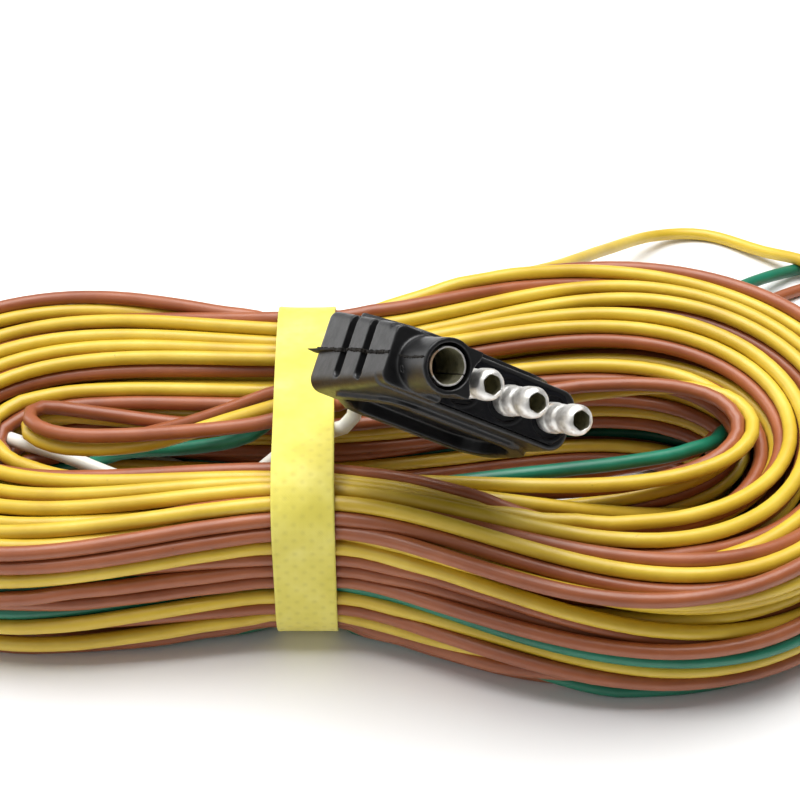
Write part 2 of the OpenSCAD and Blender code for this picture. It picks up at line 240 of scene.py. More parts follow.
def curve_through(points, spacing):
    """A smooth curve through the points, as points about spacing apart."""
    p = np.array(points, float)
    q = np.vstack([2 * p[0] - p[1], p, 2 * p[-1] - p[-2]])
    u = np.linspace(0, 1, CURVE_STEPS, endpoint=False)[:, None]
    fine = []
    for a, b, c, d in zip(q[:-3], q[1:-2], q[2:-1], q[3:]):
        fine.append(spline(a, b, c, d, u))
    return respaced(np.vstack(fine + [p[-1:]]), spacing)


def respaced(line, spacing):
    """The same line with its points evenly apart."""
    reach = reach_of(line)
    count = max(2, int(round(reach[-1] / spacing)) + 1)
    return sampled(np.linspace(0, reach[-1], count), reach, line)


# ---- the hank's shape ----

def spread(x):
    """How far the hank has spread at x, from 0 under the tie to 1."""
    f = np.clip((np.abs(x - TIE_X) - TIE_HALF) / SPREAD_RUN, 0, 1)
    return f * f * (3 - 2 * f)


def by_side(x, left, right):
    return np.where(x < TIE_X, left, right)


def middle_y(x):
    return WAIST_Y + (by_side(x, LEFT_C[1], RIGHT_C[1]) - WAIST_Y) * spread(x)


def half_width(x):
    return WAIST_W + (by_side(x, LEFT_R, RIGHT_R) - WAIST_W) * spread(x)


def top_height(x, y):
    """The hank's height at x; it stands a little higher along its back side."""
    rise = by_side(x, LEFT_RISE, RIGHT_RISE) * np.clip(y / FULL_RISE_Y, 0, 1)
    return HANK_H + (by_side(x, LEFT_H, RIGHT_H) + rise - HANK_H) * spread(x)


def tucked(z, top):
    """How far the hank's rounded section draws in at height z."""
    low = np.clip(LOW_CORNER - z, 0, LOW_CORNER)
    high = np.clip(z - (top - HIGH_CORNER), 0, HIGH_CORNER)
    return (LOW_CORNER - np.sqrt(LOW_CORNER ** 2 - low ** 2)
            + HIGH_CORNER - np.sqrt(HIGH_CORNER ** 2 - high ** 2))


def thickness(x):
    return WAIST_THICK + (by_side(x, LEFT_THICK, RIGHT_THICK) - WAIST_THICK) * spread(x)


# Points of the outline in each of its quarters
QUARTER = 64


def outline():
    """The hank's outer outline from above, clockwise from the front of the tie.

    Its points come in four even quarters: to the left end, the back of the tie, the right end
    and the front of the tie again. The second array points inwards.
    """
    def run(x0, x1, side):
        x = np.linspace(x0, x1, 80)
        return np.column_stack([x, middle_y(x) + side * half_width(x)])

    def bend(centre, radius, a0, a1):
        a = np.radians(np.linspace(a0, a1, 60))[1:]
        return np.column_stack([centre[0] + radius * np.cos(a), centre[1] + radius * np.sin(a)])

    quarters = [
        np.vstack([run(TIE_X, LEFT_C[0], -1), bend(LEFT_C, LEFT_R, 270, 180)]),
        np.vstack([bend(LEFT_C, LEFT_R, 181, 90), run(LEFT_C[0], TIE_X, 1)]),
        np.vstack([run(TIE_X, RIGHT_C[0], 1), bend(RIGHT_C, RIGHT_R, 90, 0)]),
        np.vstack([bend(RIGHT_C, RIGHT_R, 1, -90), run(RIGHT_C[0], TIE_X, -1)]),
    ]
    points = []
    for quarter in quarters:
        reach = reach_of(quarter)
        points.append(sampled(np.linspace(0, reach[-1], QUARTER, endpoint=False), reach, quarter))
    points = np.vstack(points)
    along = units(np.roll(points, -2, axis=0) - np.roll(points, 2, axis=0))
    return points, np.column_stack([along[:, 1], -along[:, 0]])


OUTLINE, INWARD = outline()


# Stations between the right end and the tie, and how much further in the inner turns lie there
RIGHT_BACK = 2.5
RIGHT_FRONT = 3.5
BACK_REACH = 0.008
FRONT_REACH = 0.034
LOW_REACH = 0.024
HUMP_HALF = 0.55


def hump(station, centre):
    """1 at the station named centre, and smoothly 0 at HUMP_HALF stations away."""
    off = np.abs(np.mod(station - centre + 2, 4) - 2)
    return np.cos(np.minimum(off / HUMP_HALF, 1) * math.pi / 2) ** 2


def in_hank(station, depth, height):
    """Places in the hank: round it by station, depth 0 outside to 1 inside, height 0 to 1.

    The stations are those of the outline's quarters. The second array points inwards.
    """
    at = np.mod(station, 4) * QUARTER
    knots = np.arange(len(OUTLINE) + 1)
    edge = sampled(at, knots, np.vstack([OUTLINE, OUTLINE[:1]]))
    inward = sampled(at, knots, np.vstack([INWARD, INWARD[:1]]))
    inset = depth * thickness(edge[:, 0])
    inner = np.maximum(depth - 0.5, 0)
    front = hump(station, RIGHT_FRONT)
    inset += inner * (FRONT_REACH * front + BACK_REACH * hump(station, RIGHT_BACK))
    # the lowest wires reach further in, under the hollow's right end
    inset += LOW_REACH * inner * front * np.clip(1.6 - 2.2 * height, 0, 1)
    base = TIE_T * (1 - spread(edge[:, 0]))
    top = top_height(edge[:, 0], edge[:, 1])
    z = base + height * (top - base)
    inset += tucked(z, top) * np.clip(1 - depth, 0, 1)
    flat = edge + inward * inset[:, None]
    side = np.column_stack([inward, np.zeros(len(inward))])
    return np.column_stack([flat, z]), side


# How far a turn strays from its slot, in slots, and how far a pair's roll strays, in radians
DEPTH_SPREAD = 0.32
HEIGHT_SPREAD = 0.21
ROLL_SPREAD = 0.6
# The range of depth and of height that the turns keep to
DEPTH_RANGE = (0.06, 0.94)
HEIGHT_RANGE = (0.07, 0.93)
# How much further a pair rolls on top of the hank, in degrees
FLAT_ROLL = 30
STATION_STEP = 0.004
# Half the length, in stations, over which a turn leaves its slots for the straight stretch
BLEND = 0.18
# Distance between the points of a wire in the solver
SPACING = 0.0025


def through_stations(values, station):
    """Smooth values along the winding, from one value for each station."""
    v = np.concatenate([values[:1], values, values[-1:], values[-1:]])
    i = np.clip(np.floor(station).astype(int), 0, len(values) - 1)
    u = station - i
    a, b, c, d = v[i], v[i + 1], v[i + 2], v[np.minimum(i + 3, len(v) - 1)]
    return spline(a, b, c, d, u)


def winding_slots():
    """The places that each bonded pair takes in the hank's section, turn by turn.

    The yellow and brown pair lies mostly in the skin of the hank, and the green and brown one
    in its core.
    """
    last = COLUMNS - 1
    top = PAIR_ROWS - 1
    skin = [(last, row) for row in range(top, 0, -1)]
    skin += [(col, top - 1) for col in range(last - 1, 0, -1)]
    skin += [(1, 3), (2, 3), (3, 3), (0, 1), (0, 2), (0, 4)]
    skin += [(col, top) for col in range(last - 2, -1, -1)]
    core = [(col, 3) for col in (6, 5, 4)]
    core += [(col, 0) for col in range(last - 1, -1, -1)]
    core += [(col, 1) for col in range(1, last)]
    core += [(col, 2) for col in range(last - 1, 0, -1)]
    core += [(0, 3)]
    return skin[:TURNS], core[:TURNS]


def wind_pair(slots, span, tilt, rng, turn_over=0, across=None):
    """Both wires of a bonded pair, wound through their slots over a span of stations.

    tilt is the pair's roll in degrees. turn_over turns it over in its last turn, by half turns.
    across gives the stations and places between which the first turn goes straight across the
    hollow. Returns the two lines and the station of each of their points.
    """
    count = 4 * (TURNS + 1) + 1
    taken = [slots[min(k // 4, TURNS - 1)] for k in range(count)]
    cols, rows = np.array(taken, float).T.copy()
    upper = rows >= PAIR_ROWS - 2
    cols += rng.normal(0, DEPTH_SPREAD, count)
    rows += rng.normal(0, HEIGHT_SPREAD, count)
    depth = np.clip((cols + 0.5) / COLUMNS, *DEPTH_RANGE)
    height = np.clip((rows + 0.5) / PAIR_ROWS, *HEIGHT_RANGE)
    # on top of the hank a pair tends to lie flat, so that both its colours show
    roll = math.radians(tilt) + rng.normal(0, ROLL_SPREAD, count)
    roll += math.radians(FLAT_ROLL) * upper
    # and in the last, outermost turn the second wire of the pair lies on the outside
    roll[4 * (TURNS - 1):] += math.pi * turn_over
    if across is not None:
        # the first turn is turned over too, so that the green wire lies above the brown one
        roll[2:5] += math.pi
    station = np.arange(*span, STATION_STEP)
    centre, side = in_hank(station, through_stations(depth, station),
                           through_stations(height, station))
    if across is not None:
        # one stretch goes straight across the hollow instead of round it
        (s0, start), (s1, stop) = across
        f = np.clip((station - s0) / (s1 - s0), 0, 1)[:, None]
        straight = np.array(start) + f * (np.array(stop) - np.array(start))
        share = (eased((station - s0 + BLEND) / (2 * BLEND))
                 * eased((s1 + BLEND - station) / (2 * BLEND)))
        centre += share[:, None] * (straight - centre)
    turn = through_stations(roll, station)
    offset = side * np.cos(turn)[:, None] + np.array([0, 0, 1.0]) * np.sin(turn)[:, None]
    reach = reach_of(centre)
    at = np.arange(0, reach[-1], SPACING)
    lines = [sampled(at, reach, centre + sign * WIRE_R * offset) for sign in (1, -1)]
    return lines, np.interp(at, reach, station)


# ---- the solver ----

# Points further apart than this are not tested against each other, nor are those of one wire
# that are at most SAME_WIRE points apart
PAIR_REACH = 0.0034
SAME_WIRE = 5
# Cells of PAIR_REACH along each axis, and how many of them lie below zero
CELLS = 4096
CELLS_BELOW = 64
# The pairs are looked up again every PAIRS_EVERY steps
PAIRS_EVERY = 6
# Fewer steps while working on other pieces
# Steps of the solver
STEPS = 400
# With SETTLING steps left, so many passes smooth out the kinks of wires that were pushed aside
SETTLING = 60
KINK_PASSES = 24
# These passes also move so many of the fixed points at the start of each tail
TAIL_POINTS = 6
# Stride and share of the smoothing in those passes, and of the two in every step
KINK_SMOOTHING = (3, 0.3)
SMOOTHING = ((1, 0.35), (4, 0.25))
# Wires whose directions have a cosine above this lie side by side
PARALLEL = 0.85
# The range of the distance that neighbours on a wire keep
REST_RANGE = (0.0020, 0.0030)
# What share of a gap too wide or too narrow is taken up in one step, along a wire or a bond
LINK_PULL = 0.25
# How far a point sinks in one step, and how strongly it is drawn to where it was wound
SINK = 0.00002
HOME_PULL = 0.004
# How far wires may bulge out of the hank's outline away from the tie
SLACK = 0.0012
# The tie holds them fully up to TIE_NEAR from its middle, and less and less over TIE_FADE more
TIE_NEAR = 0.008
TIE_FADE = 0.012


def close_pairs(points, wire, index):
    """Every two points of the wires that are near each other, but not along the same wire."""
    cell = np.floor(points / PAIR_REACH).astype(np.int64) + CELLS_BELOW
    key = (cell[:, 0] * CELLS + cell[:, 1]) * CELLS + cell[:, 2]
    order = np.argsort(key, kind="stable")
    ranked = key[order]
    found_a, found_b = [], []
    offsets = [(x, y, z) for x in (-1, 0, 1) for y in (-1, 0, 1) for z in (-1, 0, 1)
               if (x, y, z) >= (0, 0, 0)]
    for x, y, z in offsets:
        goal = key + (x * CELLS + y) * CELLS + z
        low = np.searchsorted(ranked, goal, "left")
        high = np.searchsorted(ranked, goal, "right")
        many = high - low
        a = np.repeat(np.arange(len(points)), many)
        start = np.repeat(low, many)
        step = np.arange(len(a)) - np.repeat(np.cumsum(many) - many, many)
        b = order[start + step]
        if (x, y, z) == (0, 0, 0):
            keep = a < b
            a, b = a[keep], b[keep]
        far = np.einsum("ij,ij->i", points[a] - points[b], points[a] - points[b])
        keep = far < PAIR_REACH ** 2
        keep &= (wire[a] != wire[b]) | (np.abs(index[a] - index[b]) > SAME_WIRE)
        found_a.append(a[keep])
        found_b.append(b[keep])
    return np.concatenate(found_a), np.concatenate(found_b)


def summed(index, values, size):
    return np.column_stack([np.bincount(index, values[:, k], size) for k in range(3)])


def draw(points, a, b, goal, mobility):
    """Draws each point a towards its point b, or away from it, to the goal distance."""
    d = points[a] - points[b]
    far = np.linalg.norm(d, axis=1)
    pull = d / np.maximum(far, 1e-9)[:, None] * (LINK_PULL * (far - goal))[:, None]
    size = len(points)
    points += mobility * (summed(b, pull, size) - summed(a, pull, size))


def directions(points, wire):
    ahead = np.vstack([points[1:], points[-1:]])
    back = np.vstack([points[:1], points[:-1]])
    same_ahead = np.append(wire[1:] == wire[:-1], False)
    same_back = np.insert(wire[1:] == wire[:-1], 0, False)
    ahead[~same_ahead] = points[~same_ahead]
    back[~same_back] = points[~same_back]
    return units(ahead - back)


def confine(points, loose):
    """Keeps the loose points inside the hank's outline, over the floor and under the tie."""
    p = points[loose]
    near = np.clip(1 - (np.abs(p[:, 0] - TIE_X) - TIE_NEAR) / TIE_FADE, 0, 1)
    slack = SLACK * (1 - near)
    # the long sides
    mid = middle_y(p[:, 0])
    tuck = tucked(p[:, 2], top_height(p[:, 0], p[:, 1])) * (1 - near)
    half = half_width(p[:, 0]) - WIRE_R + slack - tuck
    inner = (p[:, 0] > LEFT_C[0]) & (p[:, 0] < RIGHT_C[0])
    p[inner, 1] = mid[inner] + np.clip(p[inner, 1] - mid[inner], -half[inner], half[inner])
    # the round ends
    for centre, radius, there in ((LEFT_C, LEFT_R, p[:, 0] <= LEFT_C[0]),
                                  (RIGHT_C, RIGHT_R, p[:, 0] >= RIGHT_C[0])):
        out = p[there, :2] - np.array(centre)
        far = np.linalg.norm(out, axis=1)
        most = radius - WIRE_R + SLACK - tuck[there]
        scale = np.where(far > most, most / np.maximum(far, 1e-9), 1)
        p[there, :2] = np.array(centre) + out * scale[:, None]
    # the floor, the top and the tie's round corners
    low = WIRE_R + TIE_T * near
    high = top_height(p[:, 0], p[:, 1]) - WIRE_R + slack
    p[:, 2] = np.clip(p[:, 2], low, high)
    tied = near >= 1
    corner = HANK_CORNER - WIRE_R
    over = np.abs(p[:, 1] - WAIST_Y) - (WAIST_W - HANK_CORNER)
    up = np.maximum(p[:, 2] - (HANK_H - HANK_CORNER), TIE_T + HANK_CORNER - p[:, 2])
    far = np.hypot(over, up)
    beyond = tied & (over > 0) & (up > 0) & (far > corner)
    pull = np.where(beyond, corner / np.maximum(far, 1e-9), 1)
    side = np.sign(p[:, 1] - WAIST_Y)
    p[beyond, 1] = (WAIST_Y + side * (WAIST_W - HANK_CORNER + over * pull))[beyond]
    upper = p[:, 2] > HANK_H / 2
    new_z = np.where(upper, HANK_H - HANK_CORNER + up * pull, TIE_T + HANK_CORNER - up * pull)
    p[beyond, 2] = new_z[beyond]
    points[loose] = p


def stiffened(points, wire, loose, stride, share):
    """Moves each loose point towards the smooth curve through its neighbours stride away."""
    s = stride
    same = wire[4 * s:] == wire[:-4 * s]
    middle = points[2 * s:-2 * s]
    goal = (-points[:-4 * s] + 4 * points[s:-3 * s] + 4 * points[3 * s:-s] - points[4 * s:]) / 6
    ok = same & loose[2 * s:-2 * s]
    points[2 * s:-2 * s] = np.where(ok[:, None], middle + share * (goal - middle), middle)


def relax(lines, loose_parts, links):
    """Pushes overlapping wires apart, keeps bonded ones together and every wire smooth."""
    points = np.vstack(lines)
    wire = np.concatenate([np.full(len(l), k) for k, l in enumerate(lines)])
    index = np.concatenate([np.arange(len(l)) for l in lines])
    loose = np.concatenate(loose_parts)
    home = points.copy()
    starts = np.cumsum([0] + [len(l) for l in lines])
    link_a = np.concatenate([starts[a] + ia for a, ia, b, ib in links])
    link_b = np.concatenate([starts[b] + ib for a, ia, b, ib in links])
    size = len(points)
    segment = np.flatnonzero(wire[1:] == wire[:-1])
    rest = np.linalg.norm(points[segment + 1] - points[segment], axis=1)
    rest = np.clip(rest, *REST_RANGE)
    mobility = loose.astype(float)[:, None]
    near = loose.copy()
    for step in range(TAIL_POINTS):
        near[1:] |= near[:-1] & (wire[1:] == wire[:-1])
    for step in range(STEPS):
        if step == STEPS - SETTLING:
            for smoothing in range(KINK_PASSES):
                stiffened(points, wire, near, *KINK_SMOOTHING)
        if step % PAIRS_EVERY == 0:
            a, b = close_pairs(points, wire, index)
        points[:, 2] -= SINK * loose
        t = directions(points, wire)
        # contact between wires
        d = points[a] - points[b]
        facing = np.einsum("ij,ij->i", t[a], t[b])
        mean = units(t[a] + np.sign(facing)[:, None] * t[b])
        slide = np.einsum("ij,ij->i", d, mean)
        parallel = np.abs(facing) > PARALLEL
        d = np.where(parallel[:, None], d - slide[:, None] * mean, d)
        far = np.linalg.norm(d, axis=1)
        beside = ~parallel | (np.abs(slide) < 0.9 * SPACING)
        deep = np.where(beside, np.maximum(WIRE_D - far, 0), 0)
        push = d / np.maximum(far, 1e-9)[:, None] * (0.5 * deep)[:, None]
        moved = summed(a, push, size) - summed(b, push, size)
        count = np.bincount(a, deep > 0, size) + np.bincount(b, deep > 0, size)
        points += mobility * moved / np.maximum(1, 0.45 * count)[:, None]
        # bonded wires stay side by side, and every wire keeps its length
        draw(points, link_a, link_b, WIRE_D, mobility)
        draw(points, segment + 1, segment, rest, mobility)
        for stride, share in SMOOTHING:
            stiffened(points, wire, loose, stride, share)
        points += HOME_PULL * mobility * (home - points)
        confine(points, loose)
    return [points[starts[k]:starts[k + 1]] for k in range(len(lines))]


def eased(f):
    f = np.clip(f, 0, 1)
    return f * f * (3 - 2 * f)


# Stations at which each pair's winding starts and ends, and the pair's roll in degrees
SKIN_SPAN = (2.75, 4 * TURNS + 2.12)
CORE_SPAN = (0.6, 4 * TURNS + 2.3)
SKIN_ROLL = 105
CORE_ROLL = -80
# How many stations past the full turns the left brown wire leaves the yellow one, over how many
# stations it does so, and where it ends in the winding
LEAVES_AT = 0.6
LEAVES_OVER = 0.9
BROWN_LEFT_ENDS = 1.5
BROWN_LEFT_DEPTH = 0.05
BROWN_LEFT_HEIGHT = 0.3
# Stations and places where the green and brown pair's first turn crosses the hollow
ACROSS = ((2.92, (0.068, 0.0075, 0.0185)), (3.93, (0.000, -0.0115, 0.0225)))


def lay_wires():
    """The centrelines of all five wires, from the back of the connector to their far ends."""
    rng = np.random.default_rng(SEED)
    skin, core = winding_slots()
    end = 4 * TURNS
    (yellow, brown_left), yb = wind_pair(skin, SKIN_SPAN, SKIN_ROLL, rng, turn_over=1)
    (green, brown_right), gb = wind_pair(core, CORE_SPAN, CORE_ROLL, rng, across=ACROSS)
    # round the left end, the left brown wire leaves the yellow one for the bottom of the hank
    keep = yb < end + BROWN_LEFT_ENDS
    low = in_hank(yb[keep], np.full(keep.sum(), BROWN_LEFT_DEPTH),
                  np.full(keep.sum(), BROWN_LEFT_HEIGHT))[0]
    share = eased((yb[keep] - end - LEAVES_AT) / LEAVES_OVER)[:, None]
    brown_left = brown_left[keep] + share * (low - brown_left[keep])

    def whole(name, route, hollow, wound=None, tail=None):
        """One wire's line, which of its points are loose, and where its winding starts."""
        x, z = EXITS[name]
        start = [placed((x, INSULATION_START, z)), placed((x, BODY_D, z))]
        if wound is None:
            head = curve_through(start + route + hollow, SPACING)
            return head, np.zeros(len(head), bool), len(head)
        head = curve_through(start + route + hollow + [wound[0]], SPACING)[:-1]
        held = len(curve_through(start + route + hollow, SPACING))
        joint = curve_through([wound[-1], tail[0]], SPACING)[1:-1]
        rest = curve_through(tail, SPACING)
        line = np.vstack([head, wound, joint, rest])
        at = np.arange(len(line))
        return line, (at >= held) & (at < len(line) - len(rest)), len(head)

    parts = {
        "yellow": (YELLOW_ROUTE, YELLOW_HOLLOW, yellow, YELLOW_TAIL),
        "brown_left": (BROWN_LEFT_ROUTE, BROWN_LEFT_HOLLOW, brown_left, BROWN_LEFT_TAIL),
        "green": (GREEN_ROUTE, GREEN_HOLLOW, green, GREEN_TAIL),
        "brown_right": (BROWN_RIGHT_ROUTE, BROWN_RIGHT_HOLLOW, brown_right, BROWN_RIGHT_TAIL),
        "white": (WHITE_ROUTE, WHITE_HOLLOW),
    }
    wires = {name: whole(name, *part) for name, part in parts.items()}
    names = list(wires)
    bonded = np.arange((yb < end + LEAVES_AT).sum())
    whole_gb = np.arange(len(gb))
    links = [(0, wires["yellow"][2] + bonded, 1, wires["brown_left"][2] + bonded),
             (2, wires["green"][2] + whole_gb, 3, wires["brown_right"][2] + whole_gb)]
    lines = relax([wires[n][0] for n in names], [wires[n][1] for n in names], links)
    return dict(zip(names, lines))


def tube_shell(line, radius, sides):
    """The points and faces of a round tube along the line, with flat ends."""
    line = np.asarray(line)
    t = units(np.gradient(line, axis=0))
    side = np.cross(t[0], (0.2, 0.1, 1.0))
    rings = []
    a = np.linspace(0, 2 * math.pi, sides, endpoint=False)
    for p, way in zip(line, t):
        side = side - way * np.dot(side, way)
        side /= np.linalg.norm(side)
        up = np.cross(way, side)
        rings.append(p + radius * (np.outer(np.cos(a), side) + np.outer(np.sin(a), up)))
    vertices = np.vstack(rings)
    first = np.arange(len(line) - 1)[:, None] * sides
    k = np.arange(sides)[None, :]
    m = (k + 1) % sides
    quads = np.stack([first + k, first + m, first + sides + m, first + sides + k], axis=2)
    faces = quads.reshape(-1, 4).tolist()
    faces.append(list(range(sides - 1, -1, -1)))
    faces.append(list(range(len(vertices) - sides, len(vertices))))
    return vertices, faces


def tubes(name, lines, radius, sides=12):
    """One object of round tubes, one along each line."""
    vertices, faces = [], []
    for line in lines:
        points, skin = tube_shell(line, radius, sides)
        faces += [[len(vertices) + k for k in face] for face in skin]
        vertices += points.tolist()
    mesh = bpy.data.meshes.new(name)
    mesh.from_pydata(vertices, [], faces)
    mesh.polygons.foreach_set("use_smooth", [len(face) == 4 for face in faces])
    mesh.update()
    return add_object(name, mesh)


STRAND_R = 0.00017
# The layers of strands in a wire: radius, how many, and the angle of the first
STRAND_LAYERS = ((0.0, 1, 0), (0.00037, 6, 0), (0.00072, 12, 15))


def bare_strands(name, start, way, rng):
    """The stripped end of a wire: fine strands that twist round each other and fan out a little."""
    way = np.array(way, float)
    way /= np.linalg.norm(way)
    side = np.cross(way, (0, 0, 1.0))
    side /= np.linalg.norm(side)
    up = np.cross(side, way)
    places = [(radius, first + 360 / count * k)
              for radius, count, first in STRAND_LAYERS for k in range(count)]
    lines = []
    for radius, angle in places:
        length = STRIP_LEN + rng.normal(0, 0.00025)
        f = np.linspace(0, 1, 18)
        turn = math.radians(angle) + f * 2.6
        out = radius * (1 + f ** 2 * rng.uniform(0.0, 0.16))
        lines.append(np.array(start) + np.outer((f * length) - 0.0005, way)
                     + np.outer(out * np.cos(turn), side) + np.outer(out * np.sin(turn), up))
    return tubes(name, lines, STRAND_R, 8)


# ---- materials ----

# Each insulation's deep, plain and pale tones, as they look on a screen
TONES = {"yellow": ((194, 160, 38), (210, 178, 50), (223, 194, 72)),
         "brown": ((134, 70, 38), (151, 83, 47), (168, 98, 60)),
         "green": ((6, 94, 70), (12, 112, 84), (24, 128, 98)),
         "white": ((224, 220, 208), (236, 234, 224), (246, 245, 240))}


def srgb(*colour):
    """An opaque colour as it looks on a screen, 0 to 255, as the shader takes it."""
    return tuple((c / 255 / 12.92) if c < 10.3 else ((c / 255 + 0.055) / 1.055) ** 2.4
                 for c in colour) + (1,)


class Shader:
    """A material's node tree, with short calls to add and join its nodes."""

    def __init__(self, name):
        self.material = bpy.data.materials.new(name)
        self.material.use_nodes = True
        self.tree = self.material.node_tree
        self.main = self.tree.nodes["Principled BSDF"]
        self.place = self.add("ShaderNodeTexCoord").outputs["Object"]

    def add(self, kind, **inputs):
        node = self.tree.nodes.new(kind)
        for name, value in inputs.items():
            self.put(node.inputs[name.replace("_", " ")], value)
        return node

    def put(self, socket, value):
        if isinstance(value, bpy.types.NodeSocket):
            self.tree.links.new(value, socket)
        else:
            socket.default_value = value

    def set(self, **inputs):
        for name, value in inputs.items():
            self.put(self.main.inputs[name.replace("_", " ")], value)

    def noise(self, scale, detail=3.0, rough=0.55):
        node = self.add("ShaderNodeTexNoise", Scale=scale, Detail=detail, Roughness=rough)
        self.put(node.inputs["Vector"], self.place)
        return node.outputs["Fac"]

    def ramp(self, value, stops):
        """Greys, or screen colours, by the value: each stop is a place and its colour."""
        node = self.add("ShaderNodeValToRGB", Fac=value)
        line = node.color_ramp
        while len(line.elements) < len(stops):
            line.elements.new(0.5)
        for element, (at, colour) in zip(line.elements, stops):
            element.position = at
            grey = isinstance(colour, (int, float))
            element.color = (colour,) * 3 + (1,) if grey else srgb(*colour)
        return node.outputs["Color"]

    def tones(self, scale, detail, *stops):
        """Patches of the stops' colours or greys."""
        return self.ramp(self.noise(scale, detail), stops)

    def math(self, how, a, b=0.0):
        node = self.add("ShaderNodeMath")
        node.operation = how
        self.put(node.inputs[0], a)
        self.put(node.inputs[1], b)
        return node.outputs[0]

    def mix(self, share, a, b):
        node = self.add("ShaderNodeMix")
        node.data_type = "RGBA"
        self.put(node.inputs[0], share)
        self.put(node.inputs[6], a)
        self.put(node.inputs[7], b)
        return node.outputs[2]

    def bump(self, height, strength, distance, under=None):
        node = self.add("ShaderNodeBump", Height=height, Strength=strength, Distance=distance)
        if under:
            self.put(node.inputs["Normal"], under)
        return node.outputs["Normal"]

    def relief(self, *layers):
        """Bumps on bumps, the finest first: each noise's scale and detail, strength, distance."""
        normal = None
        for scale, detail, strength, distance in layers:
            normal = self.bump(self.noise(scale, detail), strength, distance, normal)
        self.set(Normal=normal)


def insulation(name, deep, plain, pale):
    """Extruded PVC: satin, faintly uneven, with small scuffs and specks from handling."""
    m = Shader(name)
    tone = m.tones(70, 4, (0.3, deep), (0.52, plain), (0.75, pale))
    specks = m.tones(900, 2, (0.70, 0.0), (0.78, 1.0))
    where = m.tones(45, 2, (0.52, 0.0), (0.66, 1.0))
    marks = m.math("MULTIPLY", specks, where)
    dirty = tuple(c * 0.35 for c in srgb(*deep)[:3]) + (1,)
    m.set(Base_Color=m.mix(m.math("MULTIPLY", marks, 0.55), tone, dirty))
    m.set(Roughness=m.tones(160, 3, (0.3, 0.33), (0.7, 0.46)))
    m.relief((2600, 2, 0.12, 0.0001), (240, 3, 0.25, 0.0003))
    m.set(Specular_IOR_Level=0.6)
    return m.material


# ---- mesh helpers ----

def add_object(name, mesh):
    thing = bpy.data.objects.new(name, mesh)
    bpy.context.scene.collection.objects.link(thing)
    return thing


def solid(name, vertices, faces):
    mesh = bpy.data.meshes.new(name)
    mesh.from_pydata([tuple(v) for v in vertices], [], faces)
    shape = bmesh.new()
    shape.from_mesh(mesh)
    bmesh.ops.recalc_face_normals(shape, faces=shape.faces)
    shape.to_mesh(mesh)
    shape.free()
    return add_object(name, mesh)


def loft(name, loops, closed=False):
    """A skin over loops of points of one length, with flat ends, or closed on itself."""
    n = len(loops[0])
    vertices = [v for loop in loops for v in loop]
    faces = []
    rows = len(loops)
    for i in range(rows if closed else rows - 1):
        a = i * n
        b = (i + 1) % rows * n
        faces += [(a + k, a + (k + 1) % n, b + (k + 1) % n, b + k) for k in range(n)]
    if not closed:
        faces.append(tuple(range(n)))
        faces.append(tuple(range((rows - 1) * n, rows * n)))
    return solid(name, vertices, faces)


def smooth_shaded(thing):
    thing.data.polygons.foreach_set("use_smooth", [True] * len(thing.data.polygons))
    return thing


def applied(thing):
    """Puts the object's modifiers into its mesh."""
    graph = bpy.context.evaluated_depsgraph_get()
    mesh = bpy.data.meshes.new_from_object(thing.evaluated_get(graph))
    thing.modifiers.clear()
    thing.data = mesh
    return thing


def combine(base, tool, how):
    change = base.modifiers.new(how, "BOOLEAN")
    change.operation = how
    change.object = tool
    change.solver = "EXACT"
    applied(base)
    bpy.data.objects.remove(tool)


def add(base, tool):
    combine(base, tool, "UNION")


def cut(base, tool):
    combine(base, tool, "DIFFERENCE")


def softened(thing, voxel, rounds):
    """Remeshes a crisp solid and rounds its edges a little, as a moulding's are."""
    remesh = thing.modifiers.new("remesh", "REMESH")
    remesh.mode = "VOXEL"
    remesh.voxel_size = voxel
    smooth = thing.modifiers.new("smooth", "SMOOTH")
    smooth.factor = 0.5
    smooth.iterations = rounds
    return smooth_shaded(applied(thing))


def round_corners(corners, radii, steps=6):
    """An outline in the plane through the corners, each rounded by its radius."""
    points = []
    for k, (corner, radius) in enumerate(zip(corners, radii)):
        c = Vector(corner)
        back = (Vector(corners[k - 1]) - c).normalized()
        ahead = (Vector(corners[(k + 1) % len(corners)]) - c).normalized()
        if radius <= 0:
            points.append(c)
            continue
        half = back.angle(ahead) / 2
        reach = radius / math.tan(half)
        centre = c + (back + ahead).normalized() * (radius / math.sin(half))
        start = c + back * reach - centre
        end = c + ahead * reach - centre
        for i in range(steps + 1):
            f = i / steps
            arm = start.lerp(end, f)
            points.append(centre + arm.normalized() * radius)
    return points


def drawn(name, outline, axis, start, end):
    """A flat outline drawn from start to end along X, Y or Z, which are axis 0, 1 or 2."""
    return loft(name, [[(*p[:axis], at, *p[axis:]) for p in outline] for at in (start, end)])


def rod(name, x, y0, y1, r0, z=0.0, r1=None, sides=64):
    """A round rod along the connector's Y, from y0 to y1."""
    r1 = r0 if r1 is None else r1
    angles = [2 * math.pi * k / sides for k in range(sides)]
    return loft(name, [[(x + r * math.cos(a), y, z + r * math.sin(a)) for a in angles]
                       for y, r in ((y0, r0), (y1, r1))])


def stadium(x0, x1, y0, y1, steps=16):
    """An outline with straight long sides and two half-round ends, the right one first."""
    r = (y1 - y0) / 2
    return [(end + sign * r * math.sin(a), y0 + r - sign * r * math.cos(a))
            for end, sign in ((x1 - r, 1), (x0 + r, -1))
            for a in [math.pi * k / steps for k in range(steps + 1)]]


def place(thing):
    """Moves a shape from the connector's own frame to where the connector lies."""
    turn = Euler([math.radians(a) for a in CONNECTOR_TURN]).to_matrix().to_4x4()
    thing.data.transform(Matrix.Translation(CONNECTOR_AT) @ turn)
    thing.data.update()
    return thing


